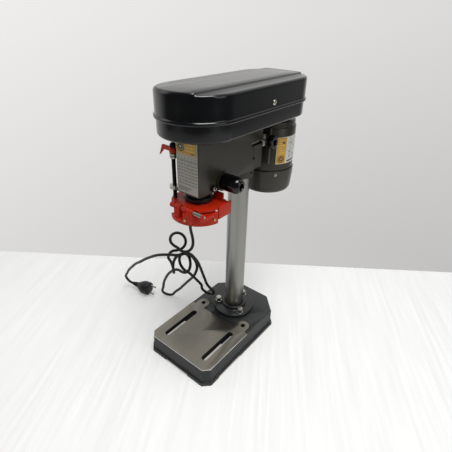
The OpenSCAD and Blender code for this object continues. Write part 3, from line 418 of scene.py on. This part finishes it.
# ---------------------------------------------------------------- column
# A flanged iron socket in black enamel, held by three zinc plated bolts with washers, and a
# ground steel tube pressed into it.
BOLT_CIRCLE, BOLT_TOP = 39.5, 65.6
gloss_enamel = surface("black enamel on cast iron", "1a1c1d", "242627", 20, (0.22, 0.36), 1.6,
                       0.05)
zinc = surface("zinc plated steel", "c2c1b8", "a9a89f", 6, (0.22, 0.4), 0.6, 0.006, 1)
# Its long light and dark streaks are painted reflections of the room, over the steel's own ground
# grey.
ground_steel_painted_streaks = surface("ground steel with painted reflection streaks", "70706d", "b4b4af", 8, (0.26, 0.38), 0.7,
                     0.004, 1, (1, 1, 0.012))
shape = bmesh.new()
turn(shape, [(23.05, 46), (50.5, 46), (50.5, 52), (48.5, 54), (33.5, 54), (32, 54.4),
             (31.2, 55.6), (31, 57), (31, 60.4), (30.4, 61.6), (29, 62), (24.4, 62), (23.05, 61),
             (23.05, 46)], steps=96)
soften(shape, 0.6, 2, 40)
piece("column_socket", shape, "stand", [gloss_enamel], ["column_flange"])

# Each bolt is a washer, a dark stem and a hexagon, left as the wrench left it.
shape = bmesh.new()
for angle, wrench in ((90, 47), (210, 9.6), (330, 32.3)):
    x, y = (BOLT_CIRCLE * part(math.radians(angle)) for part in (math.cos, math.sin))
    turn(shape, [(0, 54), (8, 54), (8, 55.3), (7.6, 55.6), (0, 55.6)], (x, y, 0), steps=32)
    turn(shape, [(0, 55.6), (5.4, 55.6), (5.4, 60), (0, 60)], (x, y, 0), steps=24, finish=1)
    prism(shape, 7.2, 5.6, at((x, y, BOLT_TOP - 2.8), wrench))
soften(shape, 0.7, 2, 40, lambda e: all(v.co.z > BOLT_TOP - 0.1 for v in e.verts))
piece("socket_bolts", shape, "stand", [zinc, gloss_enamel], ["flange_bolts"])
shape = bmesh.new()
turn(shape, [(19, 46), (23, 46), (23, 465), (22, 466), (19, 466), (19, 46)], steps=96)
piece("column", shape, "stand", [ground_steel_painted_streaks], ["column_tube"])

# ---------------------------------------------------------------- head
# The head is a second iron casting in olive grey enamel, clamped on the column. It carries the
# spindle in front and the motor slides at the back.
HEAD_TOP, HEAD_FOOT, HEAD_SIDE, COLLAR_REAR = 526, 429, 26, 28.5
head_paint = surface("olive grey enamel on cast iron", "353229", "3f3b30", 30, (0.28, 0.4),
                     2.4, 0.07)
black_oxide = surface("black oxide steel", "17181a", "222426", 9, (0.3, 0.44), 0.8, 0.01, 0.6)


def long_outer(edge):
    """Whether an edge of the head is a long one of its outside or of its underside."""
    ends = [v.co for v in edge.verts]
    return (edge.calc_length() > 14
            and all(p.z < HEAD_TOP - 0.1 and p.y < COLLAR_REAR for p in ends)
            and (all(abs(p.x) > HEAD_SIDE for p in ends) or ends[0].z < HEAD_FOOT))


shape = traced("head_casting")
soften(shape, 1.5, 3, 35, long_outer)

# The lug that guides the depth rod is plated, on the left and low.
for face in shape.faces:
    spot = face.calc_center_median()
    face.material_index = 1 if spot.x < -34 and 414 < spot.z < 423 else 0
piece("head", shape, "stand", [head_paint, zinc], ["head_casting"])


def dress(node, material, width=0.5, steps=2, angle=40, body="stand", name=None):
    """A construction solid whose shape is right, with its sharp edges broken."""
    shape = traced(node)
    soften(shape, width, steps, angle)
    return piece(name or node + "_finished", shape, body, [material], [node])


dress("rod_clamp", zinc, 0.8)

# The guide screw is a plated ring on a black nut. Its socket is coloured dark: painted shade in the
# hollow.
GUIDE_SCREW = Vector((0, -119.5, 425))
shape = bmesh.new()
for face in turn(shape, [(0, 19.3), (2.2, 19.3), (2.2, 22.4), (3, 22.8), (3, 28), (4.6, 28),
                         (4.6, 34.6), (4.2, 35.4), (2.9, 35.8), (2.4, 35.2), (2.2, 33),
                         (2.2, 30.6), (0, 30.6)], GUIDE_SCREW, "X", 32):
    spot = face.calc_center_median()
    # The socket's faces take the black oxide as painted shade.
    if spot.x > 29 and (spot.yz - GUIDE_SCREW.yz).length < 2.3:
        face.material_index = 1
prism(shape, 6.5, 4.4, at(GUIDE_SCREW + Vector((31.3, 0, 0)), 90, "Y"), finish=1)
piece("quill_guide_screw_and_nut", shape, "stand", [zinc, black_oxide],
      ["quill_guide_screw"])

# ---------------------------------------------------------------- speed plate on the head
# A printed and laminated aluminium plate: yellow header, a rule, and a table of plain figures.
PAPER, YELLOW, DARK, PALE, GREY = range(5)


def ink(name, code, rough=0.35):
    """Screen printing ink: an even colour with the faint orange peel of the clear laminate."""
    return surface(name, code, code, 20, (rough, rough + 0.08), 1.5, 0.01)


def settled(holder):
    """The mesh of an object with its curves and modifiers worked out. The object is used up."""
    graph = bpy.context.evaluated_depsgraph_get()
    mesh = bpy.data.meshes.new_from_object(holder.evaluated_get(graph))
    bpy.data.objects.remove(holder)
    return mesh


def figures(shape, words, height, x, z, finish):
    """Printed figures in the plane y = 0, standing off it by the ink's thickness."""
    letters = bpy.data.curves.new("figures", "FONT")
    letters.body, letters.size, letters.extrude = words, height * 1.4, 0.06
    letters.resolution_u, letters.align_x, letters.align_y = 2, "CENTER", "CENTER"
    before = set(shape.verts)
    shape.from_mesh(settled(put("figures", letters)))
    made = [v for v in shape.verts if v not in before]
    bmesh.ops.transform(shape, matrix=at((x, 0, z), 90, "X"), verts=made)
    for face in {f for v in made for f in v.link_faces}:
        face.material_index = finish
    return made


def ring_mark(shape, x, z, rings):
    """A plain ring mark of printed discs, each a little in front of the one before it."""
    for radius, finish, lift in rings:
        disc = bmesh.ops.create_circle(shape, cap_ends=True, segments=40, radius=radius)["verts"]
        bmesh.ops.transform(shape, matrix=at((x, -lift, z), 90, "X"), verts=disc)
        disc[0].link_faces[0].material_index = finish


paper = surface("printed aluminium plate", "cfccc3", "c6c3b9", 30, (0.3, 0.4), 1.5, 0.01)
yellow_ink = ink("yellow printing ink", "dcac45")
dark_ink = ink("black printing ink", "2b2b2c")
pale_ink = ink("pale yellow printing ink", "ecca6c")
grey_ink = ink("grey printing ink", "5b5a56")
shape = bmesh.new()
bar(shape, (-25.2, 0, 417.5), (25.2, 0.4, 522.5), PAPER)
bar(shape, (-25.2, -0.06, 492.6), (22.6, 0.1, 522.5), YELLOW)
bar(shape, (-25.2, -0.08, 489.8), (22.6, 0.1, 491.4), YELLOW)
ring_mark(shape, -14.5, 503.4, ((8.6, DARK, 0.1), (6.6, PAPER, 0.14), (5.2, DARK, 0.18),
                                (2.4, PAPER, 0.22)))
for row in range(3):
    bar(shape, (-3 + row % 2 * 2, -0.12, 497 + row * 5.6),
        (19 - row * 2, 0.05, 500 + row * 5.6), PALE)
bar(shape, (11, -0.12, 494), (18, 0.05, 495.4), DARK)
for row in range(9):
    for column, first in enumerate((4, 5, 6, 8, 10, 13)):
        value = first if row == 0 else 260 + 40 * row * (column + 2)
        figures(shape, str(value), 3.4, -20.6 + column * 8, 484.6 - row * 6.1, GREY)
bar(shape, (-24, -0.1, 481.2), (23.4, 0.05, 481.6), DARK)
for row in range(3):
    bar(shape, (-22, -0.1, 428.5 - row * 3.2), (12 - 6 * row, 0.05, 429.6 - row * 3.2), GREY)
bmesh.ops.translate(shape, vec=(0, -155.5, 0), verts=shape.verts)
piece("speed_plate", shape, "stand", [paper, yellow_ink, dark_ink, pale_ink, grey_ink],
      ["front_label"])

# ---------------------------------------------------------------- quill and depth stop
# The quill is a blackened steel sleeve that slides in the head. A threaded black rod beside it
# carries two zinc nuts and a red moulded pointer that reads the depth.
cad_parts["quill"].data.materials.clear()
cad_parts["quill"].data.materials.append(black_oxide)
red_moulding = surface("orange red moulded ABS", "d02c0d", "c2260a", 25, (0.36, 0.48), 1.2, 0.03)
red_moulding.node_tree.nodes["Principled BSDF"].inputs["Specular IOR Level"].default_value = 0.3
ROD = (-39, -150, 0)
THREAD_FOOT, THREAD_PITCH, THREADS = 392, 1.5, 60
thread = [(radius, THREAD_FOOT + THREAD_PITCH * k + rise) for k in range(THREADS)
          for radius, rise in ((3.5, 0), (3.95, 0.45), (3.95, 0.75), (3.5, 1.2))]
shape = bmesh.new()
turn(shape, [(0, 389), (3.6, 389), (3.9, 389.6)] + thread
     + [(3.9, 484), (3.95, 495), (5.6, 495), (6, 495.6), (6, 499), (5.6, 501.2), (4.2, 503.2),
        (2.2, 504.3), (0, 504.6)], ROD, steps=32)
piece("depth_stop_rod", shape, "quill_group", [black_oxide], ["depth_rod"])
shape = bmesh.new()
for z in (475.3, 480.3, 388.2):
    prism(shape, 7.5, 4.6, at((ROD[0], ROD[1], z + 2.3)))
soften(shape, 0.6, 2, 40)
piece("depth_stop_nuts", shape, "quill_group", [zinc], ["depth_nuts"])
dress("depth_pointer", red_moulding, 0.9, 3, 30, "quill_group", "pointer")

# ---------------------------------------------------------------- chuck guard
# Two orange red ABS mouldings: a clamp plate on the quill, and a round skirt that swings up on
# a steel pin with a coil spring round it.
dress("guard_bracket", red_moulding, 0.8, 3, 30, "quill_group", "guard_plate")

# The skirt's wall hangs 3 mm lower than in the solid, and its right end stops a little sooner.
SKIRT_FOOT, SKIRT_DROP, SKIRT_END = 369.5, 3, -132.3
shape = traced("guard_skirt")
for vert in shape.verts:
    if vert.co.z < SKIRT_FOOT:
        vert.co.z -= SKIRT_DROP
    if vert.co.x > 40 and vert.co.y > SKIRT_END - 1.2:
        vert.co.y = SKIRT_END
soften(shape, 0.8, 3, 30)
piece("skirt", shape, "guard", [red_moulding], ["guard_skirt"])
dress("guard_ring", gloss_enamel, 0.8, 2, 30, "quill_group")
yellow_zinc = surface("yellow passivated zinc", "c9b070", "b59a55", 4, (0.2, 0.34), 0.5, 0.004, 1)
dress("guard_screws", yellow_zinc, 0.5, 3, 30, "guard")
dress("guard_clamp_screw", zinc, 0.3, 2, 30, "quill_group")
dress("guard_pin", zinc, 0.3, 2, 30, "quill_group")

# The spring: eight coils of 1.3 mm wire round the pin, each drawn in 24 steps.
COIL, COIL_STEPS, COIL_START, COIL_LENGTH = 2.9, 24, (28.9, -171, 393.5), 18.2
coil_turns = [k / COIL_STEPS for k in range(8 * COIL_STEPS + 1)]
spring = bpy.data.curves.new("coil", "CURVE")
spring.dimensions, spring.bevel_depth, spring.bevel_resolution = "3D", 0.65, 2
spring.use_fill_caps = True
coil = spring.splines.new("POLY")
coil.points.add(len(coil_turns) - 1)
for point, turns in zip(coil.points, coil_turns):
    angle = 2 * math.pi * turns
    point.co = (COIL_START[0] + COIL_LENGTH * turns / 8, COIL_START[1] + COIL * math.cos(angle),
                COIL_START[2] + COIL * math.sin(angle), 1)
shape = bmesh.new()
shape.from_mesh(settled(put("coil", spring)))
piece("guard_coil_spring", shape, "quill_group", [zinc], ["guard_spring"])

# ---------------------------------------------------------------- feed hub
# The feed lever's hub is gloss black phenolic on the pinion shaft, dished at its end round the
# retaining screw, with three threaded holes for the spokes.
HUB = Vector((0, -91, 430.5))
phenolic = surface("gloss black phenolic", "070809", "0c0d0f", 18, (0.07, 0.13), 3, 0.02)


def pierce(shape, drill):
    """Cuts one closed shape out of another. Both are used up, and the cut shape comes back."""
    held = []
    for part in (shape, drill):
        mesh = bpy.data.meshes.new("cutting")
        part.to_mesh(mesh)
        part.free()
        held.append(put("cutting", mesh))
    cut = held[0].modifiers.new("cut", "BOOLEAN")
    cut.operation, cut.solver, cut.object = "DIFFERENCE", "EXACT", held[1]
    done = bmesh.new()
    done.from_mesh(settled(held[0]))
    bpy.data.objects.remove(held[1])
    return done


shape = bmesh.new()
turn(shape, [(0, 33.4), (15.9, 33.4), (16.5, 34.2), (16.5, 57.4), (16.3, 60), (15.8, 63.4),
             (14.9, 66.5), (13.6, 69.3), (11.9, 71.6), (10.2, 73.2), (8.8, 73.9), (7.8, 74),
             (6.9, 73.6), (6.2, 72.4), (5.7, 70), (5.4, 66), (5.4, 59.6), (0, 59.6)], HUB, "X", 72)
drill = bmesh.new()
for angle in (-15, 105, 225):
    prism(drill, 4.2, 20, at(HUB + Vector((45, 0, 0)), angle, "X") @ at((0, 0, 0), 25, "Y")
          @ at((0, 0, 22)), 32)
shape = pierce(shape, drill)
piece("feed_hub_moulding", shape, "feed", [phenolic], ["feed_hub"])

# ---------------------------------------------------------------- pulley cover
# Two deep-drawn black ABS shells with a satin grain: a tray screwed to the head, and a hinged
# lid with a half-round bead along its edge and a raised middle panel.
COVER_MIDDLE, COVER_HALF_WIDTH, COVER_HALF_LENGTH, COVER_CORNER = -24, 75, 173, 50
SHELL = 1.6
SPINDLE = (0, -126, 0)
satin_abs = surface("satin black ABS", "07090c", "0b0e11", 40, (0.14, 0.21), 1.1, 0.01)


def cover_face(shape, outset, z, downwards=False):
    """The flat plan of the cover: a round front, straight sides, rounded rear corners."""
    half_width, half_length = COVER_HALF_WIDTH + outset, COVER_HALF_LENGTH + outset
    made = bmesh.ops.create_grid(shape, x_segments=1, y_segments=1, size=0.5)["verts"]
    bmesh.ops.scale(shape, vec=(2 * half_width, 2 * half_length, 1), verts=made)
    bmesh.ops.translate(shape, vec=(0, COVER_MIDDLE, z), verts=made)
    front = [v for v in made if v.co.y < 0]
    bmesh.ops.bevel(shape, geom=front, offset=half_width - 0.01, offset_type="OFFSET",
                    segments=32, profile=0.5, affect="VERTICES", material=-1)
    rear = [v for v in shape.verts if v.co.y > COVER_MIDDLE + half_length - 0.1]
    bmesh.ops.bevel(shape, geom=rear, offset=COVER_CORNER + outset, offset_type="OFFSET",
                    segments=14, profile=0.5, affect="VERTICES", material=-1)
    bmesh.ops.remove_doubles(shape, verts=shape.verts, dist=0.05)
    face = list(shape.faces)[-1]
    if (face.normal.z < 0) != downwards:
        bmesh.ops.reverse_faces(shape, faces=[face])
    face.normal_update()
    return face


def score(shape, places):
    """Splits the faces of a shape in planes across an axis. Close to a corner, that keeps the
    corner's shading off the flat wall next to it."""
    for axis, place in places:
        bmesh.ops.bisect_plane(shape, geom=shape.verts[:] + shape.edges[:] + shape.faces[:],
                               plane_co=[place if k == axis else 0 for k in range(3)],
                               plane_no=[float(k == axis) for k in range(3)], dist=1e-4)


def rise(shape, face, profile):
    """Draws a wall up from a face through a profile of (outset, height) points."""
    for (outset, height), (next_outset, next_height) in zip(profile, profile[1:]):
        climb = next_height - height
        if outset == next_outset:
            drawn = bmesh.ops.extrude_face_region(shape, geom=[face])["geom"]
            bmesh.ops.delete(shape, geom=[face], context="FACES_ONLY")
            face = next(f for f in drawn if isinstance(f, bmesh.types.BMFace))
            bmesh.ops.translate(shape, vec=(0, 0, climb), verts=face.verts)
        else:
            bmesh.ops.inset_region(shape, faces=[face], thickness=outset - next_outset,
                                   depth=climb if face.normal.z > 0 else -climb,
                                   use_even_offset=True, use_boundary=True)
        face.normal_update()
    return face


def round_rim(outset, height, radius, way=1, steps=6):
    """Points of a quarter round that turns a wall into a flat top, or into a flat bottom."""
    return [(outset - radius * (1 - math.cos(a)), height + way * radius * math.sin(a))
            for a in (math.radians(90 * k / steps) for k in range(steps + 1))]


# The lid: bead, wall and rounded rim, and a middle panel that stands 3 mm higher.
RIM_FOOT, RIM_RADIUS, PANEL_HALF, PANEL_SLOPE, PANEL_RISE = 594.4, 5, 46, 4, 3
HINGE = (-82, 0, 552.2)
CORNERS = [(1, -119), (1, 96), (0, -23), (0, 23)]
bead = [(0.3, 552.4), (1.5, 552.8), (2.25, 553.9), (2.5, 555.4), (2.3, 556.8), (1.6, 558),
        (0.6, 558.7), (0.12, 559.4), (0, 560.6)]
shape = bmesh.new()
top = cover_face(shape, *bead[0])
rise(shape, top, bead + [(0, 575), (0, 593)] + round_rim(0, RIM_FOOT, RIM_RADIUS))
score(shape, CORNERS + [(0, side * x) for side in (-1, 1) for x in (42, 43.3, 44.7, 46)])
for vert in shape.verts:
    across = min(max((PANEL_HALF - abs(vert.co.x)) / PANEL_SLOPE, 0), 1)
    along = min(max((vert.co.z - RIM_FOOT) / RIM_RADIUS, 0), 1)
    vert.co.z += PANEL_RISE * across * across * (3 - 2 * across) * along
bmesh.ops.recalc_face_normals(shape, faces=shape.faces)
bmesh.ops.solidify(shape, geom=shape.faces[:], thickness=SHELL)
for y in (-56.6, 63.4):
    turn(shape, [(1.85, y), (3.6, y), (4, y + 0.4), (4, y + 12.8), (3.6, y + 13.2),
                 (1.85, y + 13.2), (1.85, y)], HINGE, "Y", 24)
    bar(shape, (HINGE[0], y, 553.2), (-74.4, y + 13.2, 556.2))
piece("lid_shell", shape, "lid", [satin_abs], ["cover_lid"], 40)

# The tray: the same plan one wall smaller, with openings for the two pulleys' shafts and an
# upright tab that takes the lid's screw.
shape = bmesh.new()
bottom = cover_face(shape, -SHELL, 552, True)
rise(shape, bottom, [(-SHELL, 552), (-SHELL, 545)] + round_rim(-SHELL, 528, 5, -1)
     + [(-13, 523), (-14.4, 524), (-15.6, 526)])
score(shape, CORNERS)
bmesh.ops.recalc_face_normals(shape, faces=shape.faces)
bmesh.ops.solidify(shape, geom=shape.faces[:], thickness=SHELL)
drill = bmesh.new()
prism(drill, 22, 40, at((SPINDLE[0], SPINDLE[1], 526)), 48)
bar(drill, (-16, 86, 506), (16, 122, 546))
shape = pierce(shape, drill)
LID_SCREW = Vector((0, -4.5, 567.5))
tab = bmesh.new()
bar(tab, (69.4, -12, 527.6), (71, 3, 572))
bar(tab, (69.4, -12, 527.6), (72.4, 3, 541.6))
soften(tab, 0.5, 2)
drill = bmesh.new()
turn(drill, [(0, 60), (3.6, 60), (3.6, 80), (0, 80)], LID_SCREW, "X", 24)
tab = pierce(tab, drill)
fitted = bpy.data.meshes.new("tab")
tab.to_mesh(fitted)
tab.free()
shape.from_mesh(fitted)
piece("tray_shell", shape, "stand", [satin_abs], ["cover_tray"], 40)
shape = bmesh.new()
turn(shape, [(0, -4), (3, -4), (3, 0.2), (5.2, 0.2), (5.2, 1.2), (4.6, 2.2), (3.2, 3), (2, 3.3),
             (1.7, 2.2), (0, 2.2)], LID_SCREW + Vector((74.8, 0, 0)), "X", 32)
piece("lid_screw_head", shape, "lid", [nickel], ["lid_screw"])

# ---------------------------------------------------------------- motor
# A squirrel cage motor in a rolled steel shell with two pressed caps, all in the head's olive
# grey enamel. Its rating plate is a printed foil wrapped round the shell.
MOTOR = Vector((0, 108, 0))
shape = bmesh.new()
turn(shape, [(54, 404), (55.6, 404), (55.6, 406.4), (57, 407), (57, 496.4), (56.4, 497.6),
             (55.4, 498), (54, 498), (54, 404)], MOTOR, steps=96)
piece("motor_tube", shape, "motor", [head_paint], ["motor_shell"])
shape = bmesh.new()
turn(shape, [(17, 498), (54.6, 498)] + round_rim(54.6, 507, 4, steps=5)
     + [(47, 511), (46, 512), (26, 512), (24, 514), (9, 514), (9, 509), (17, 509), (17, 498)],
     MOTOR, steps=96)
piece("motor_upper_cap", shape, "motor", [head_paint], ["motor_top_cap"])
shape = bmesh.new()
turn(shape, [(9, 358), (9, 350)] + round_rim(57, 361, 11, -1)[::-1]
     + [(58.4, 380), (59.4, 392), (59.4, 403.6), (58.8, 404.4), (56.2, 404.4), (56.2, 402),
        (54, 402), (54, 353), (21, 353), (21, 358), (9, 358)], MOTOR, steps=96)
piece("motor_lower_cap", shape, "motor", [head_paint], ["motor_end_cap"])

# Four cross-head screws hold the lower cap.
shape = bmesh.new()
for angle in (-38, 52, 142, 232):
    before = set(shape.verts)
    turn(shape, [(0, 57.4), (3.6, 57.4), (3.6, 59.2), (3.2, 60.2), (2.2, 60.8), (0, 60.8)],
         axis="X", steps=24)
    # Each cross recess is a thin black sheet on the screw's head: painted shade where the recess
    # is.
    for slot_turn in (0, 90):
        recess_painted_shade = bar(shape, (60.77, -1.7, -0.35), (60.87, 1.7, 0.35), 1)
        bmesh.ops.transform(shape, matrix=at((0, 0, 0), slot_turn, "X"), verts=recess_painted_shade)
    made = [v for v in shape.verts if v not in before]
    bmesh.ops.transform(shape, matrix=at(MOTOR + Vector((0, 0, 397)), angle), verts=made)
piece("motor_cap_screws", shape, "motor", [zinc, black_oxide], ["motor_screws"])

# Rating plate: printed foil, a yellow field on the left and a white one with plain figures.
# It is drawn flat and then wrapped round the shell.
FOIL_START, FOIL_BEND, FOIL_BACK = math.radians(-40), 57.25, 57.46
foil = surface("white printed foil", "e9e9e4", "dfdfda", 30, (0.3, 0.4), 1.5, 0.01)
shape = bmesh.new()
bar(shape, (0, 0, 421), (69.4, 0.42, 480), PAPER)
bar(shape, (0.8, -0.05, 421.8), (24, 0.1, 479.2), YELLOW)
ring_mark(shape, 12.4, 432, ((8, DARK, 0.08), (6.2, YELLOW, 0.1), (4.8, DARK, 0.12),
                             (2.2, YELLOW, 0.14)))
for row in range(6):
    bar(shape, (4, -0.09, 445 + row * 5.4), (20 - row % 3 * 4, 0.1, 447 + row * 5.4), PALE)
bar(shape, (13, -0.1, 466), (19, 0.1, 470), DARK)
for row, values in enumerate((("50", "0.25"), ("230", "1"), ("1.6", "10"), ("1400", "55"),
                              ("5", "20"))):
    bar(shape, (26, -0.06, 431 + row * 9.6), (67.5, 0.1, 431.4 + row * 9.6), DARK)
    for x, value in zip((35, 56), values):
        figures(shape, value, 4.6, x, 436 + row * 9.6, DARK)
bar(shape, (28, -0.06, 424), (60, 0.1, 427.5), DARK)
bar(shape, (45.5, -0.06, 431), (45.9, 0.1, 479), DARK)
score(shape, [(0, 2.5 * k) for k in range(1, 28)])
for vert in shape.verts:
    angle, reach = FOIL_START + vert.co.x / FOIL_BEND, FOIL_BACK - vert.co.y
    vert.co.xy = MOTOR.xy + reach * Vector((math.cos(angle), math.sin(angle)))
piece("rating_plate", shape, "motor", [foil, yellow_ink, dark_ink, pale_ink],
      ["motor_label"])

# Inside the motor: laminated stator, copper windings, two ball races, and the rotor with its
# fan. Behind it: the bracket and its two slide rods.
laminations = surface("stacked steel laminations", "6c6e72", "5b5d60", 0.7, (0.4, 0.55), 0.5,
                      0.04, 0.8, (0.02, 0.02, 1))
copper = surface("varnished copper windings", "9a5226", "7c3f1c", 1.2, (0.25, 0.4), 0.8, 0.15,
                 0.7, (0.2, 0.2, 1))
race_steel = surface("ground bearing steel", "c4c5c6", "b4b5b6", 6, (0.12, 0.22), 0.5, 0.003, 1)
fan_plastic = surface("black moulded polyamide", "1b1c1d", "242526", 12, (0.4, 0.55), 0.8, 0.04)
dress("motor_stator", laminations, 0.4, body="motor")
dress("motor_windings", copper, 1.5, 3, body="motor")
dress("motor_bearings", race_steel, 0.5, body="motor")
dress("motor_rotor", laminations, 0.4, body="rotor")
dress("motor_fan", fan_plastic, 0.3, 1, body="rotor")
dress("motor_bracket", head_paint, 1.5, 3, body="motor")
dress("slide_rods", zinc, 0.6, body="motor")

# ---------------------------------------------------------------- belt lock knob
# A black phenolic star knob on a zinc plated screw clamps the motor slides.
KNOB, KNOB_FOOT = Vector((0, 32.5, 482)), 50.6
KNOB_RADIUS, LOBE_HEIGHT, LOBES = 13, 1.1, 6
shape = bmesh.new()
turn(shape, [(0, 31.5), (3, 31.5), (3, 50), (0, 50)], KNOB, "X", 24, 1)
turn(shape, [(0, 44), (5.4, 44), (6, 44.6), (6, 50.4), (0, 50.4)], KNOB, "X", 32)
plan = bmesh.ops.create_circle(shape, cap_ends=True, segments=72, radius=1)["verts"]
for vert in plan:
    vert.co *= KNOB_RADIUS + LOBE_HEIGHT * math.cos(LOBES * math.atan2(vert.co.y, vert.co.x))
    vert.co = KNOB + Vector((KNOB_FOOT, vert.co.y, vert.co.x))
face = plan[0].link_faces[0]
face.normal_update()
if face.normal.x < 0:
    bmesh.ops.reverse_faces(shape, faces=[face])
drawn = bmesh.ops.extrude_face_region(shape, geom=[face])["geom"]
cap = next(f for f in drawn if isinstance(f, bmesh.types.BMFace))
bmesh.ops.translate(shape, vec=(9.4, 0, 0), verts=cap.verts)
for inset, lift in ((0.5, 0.9), (1.2, 0.5), (3.5, 0.1), (1, -0.5)):
    bmesh.ops.inset_region(shape, faces=[cap], thickness=inset, depth=lift, use_even_offset=True)
bmesh.ops.recalc_face_normals(shape, faces=shape.faces)
soften(shape, 0.5, 2, 50, lambda e: all(abs(v.co.x - KNOB_FOOT) < 0.01 for v in e.verts))
piece("belt_lock_star_knob", shape, "belt_lock", [phenolic, zinc],
      ["belt_lock_knob"])

# ---------------------------------------------------------------- switch
# A moulded black box on the head's left side, with a green start button and a red stop button
# in round bezels, each with its plain mark.
SWITCH_Y, SWITCH_Z, START_Y, STOP_Y = -65, 485, -53, -77
green_moulding = surface("green moulded ABS", "1c7a38", "176c30", 20, (0.28, 0.4), 1.2, 0.03)
stop_moulding = surface("red moulded ABS", "c01c14", "b01810", 20, (0.28, 0.4), 1.2, 0.03)
white_ink = ink("white printing ink", "efefec")


def on_front(edge):
    """Whether an edge belongs to the outline of the switch box and reaches its front."""
    ends = [v.co for v in edge.verts]
    return (all(max(abs(p.z - SWITCH_Z), abs(p.y - SWITCH_Y)) > 26.5 for p in ends)
            and min(p.x for p in ends) < -69)


shape = traced("switch_box")
soften(shape, 3.2, 4, 40, on_front)
for y in (STOP_Y, START_Y):
    turn(shape, [(9.4, -69.5), (11.6, -69.5), (11.6, -72), (11.2, -73), (10.4, -73.4), (9.4, -73),
                 (9.4, -69.5)], (0, y, SWITCH_Z), "X", 48)
    for z in (SWITCH_Z - 22.4, SWITCH_Z + 22.4):
        turn(shape, [(0, -69.8), (2.4, -69.8), (2.2, -70.6), (1.4, -71), (0, -71)], (0, y, z),
             "X", 24, 1)
piece("switch_housing", shape, "stand", [satin_abs, zinc], ["switch_box"])
for name, y, moulding, slot, mark in (("start", START_Y, green_moulding, "green_plastic", "I"),
                                      ("stop", STOP_Y, stop_moulding, "red_plastic", "O")):
    shape = bmesh.new()
    turn(shape, [(0, -64), (9, -64), (9, -74.2), (8.6, -75.1), (7.8, -75.5), (6.6, -75.3),
                 (3, -74.8), (0, -74.7)], (0, y, SWITCH_Z), "X", 48)
    printed = figures(shape, mark, 7, 0, 0, 1)
    bmesh.ops.transform(shape, matrix=at((-75, y, SWITCH_Z), -90), verts=printed)
    piece(name + "_push_button", shape, name, [moulding, white_ink], [name + "_button"])
dress("switch_block", fan_plastic, 0.5)

# ---------------------------------------------------------------- return spring and small parts
# A pressed steel cup on the head's left side holds the coiled strip that lifts the quill. With
# it come the pinion shaft, the bearings and the screws, whose solids already have their shape.
shape = bmesh.new()
turn(shape, [(0, -52), (9, -52), (9.6, -51.4), (11, -51.2), (12, -52), (20.5, -52), (22.4, -51.6),
             (23.6, -50.6), (24, -49), (24, -33), (22.4, -33), (22.4, -50.4), (0, -50.4)],
     HUB, "X", 72)
piece("return_spring_cup", shape, "stand", [gloss_enamel], ["spring_cup"])
spring_strip = surface("blued spring steel", "5a6470", "4a525c", 5, (0.2, 0.32), 0.5, 0.004, 1)
dress("clock_spring", spring_strip, 0.15, 1)
dress("pinion_shaft", ground_steel_painted_streaks, 0.4, 1, body="feed")
dress("hub_screw", black_oxide, 0.4, body="feed")
dress("quill_bearings", race_steel, 0.5, body="quill_group")
dress("sleeve_bearing", race_steel, 0.5)
dress("head_set_screws", black_oxide, 0.3)
dress("tray_screws", zinc, 0.8, 3)
dress("tray_hinge", gloss_enamel, 0.5)

# ---------------------------------------------------------------- spindle and belt drive
# Turned steel spindle with a splined upper end; two cast alloy cone pulleys, machined in their
# five V grooves; a rubber V belt on the middle step.
dress("spindle", ground_steel_painted_streaks, 0.2, 1, body="spindle_body", name="splined_spindle")
alloy = surface("machined cast aluminium", "b9babb", "a8a9ab", 5, (0.25, 0.42), 0.9, 0.015, 1,
                (1, 1, 4))
rubber = surface("fabric-faced rubber", "1d1d1d", "272726", 3, (0.6, 0.8), 0.6, 0.06)


def v_grooves(radii, foot=531, pitch=11.6, depth=6.4):
    """The profile of a cone pulley: five V grooves with rounded lips, one for each step."""
    return [(radius - inset, foot + pitch * step + lift) for step, radius in enumerate(radii)
            for inset, lift in ((0.5, 0), (0, 0.5), (0, 1.1), (depth, 3.6), (depth, 8),
                                (0, 10.5), (0, 11.2), (0.4, pitch))]


shape = bmesh.new()
turn(shape, [(13, 530), (51, 530), (52, 530.8)] + v_grooves((52, 49, 46, 42.5, 38.5))
     + [(34, 589), (32, 586), (18, 586), (16, 588.9), (10, 589), (10, 596.6), (9.6, 597),
        (6.95, 597), (6.95, 511.4), (12.5, 511.4), (12.5, 513.7), (10, 513.7), (10, 526.4),
        (13, 526.4), (13, 530)], SPINDLE, steps=96)
piece("spindle_cone_pulley", shape, "spindle_drive", [alloy], ["spindle_pulley"])
shape = bmesh.new()
turn(shape, [(7, 530), (17.6, 530), (18.5, 530.8)] + v_grooves((18.5, 22.3, 26, 30, 34))
     + [(30, 589), (28, 587), (14, 587), (12, 589), (7, 589), (7, 530)], MOTOR, steps=96)
piece("motor_cone_pulley", shape, "rotor", [alloy], ["motor_pulley"])
dress("pulley_nut", zinc, 0.8, body="spindle_drive")
dress("drive_belt", rubber, 0.6)
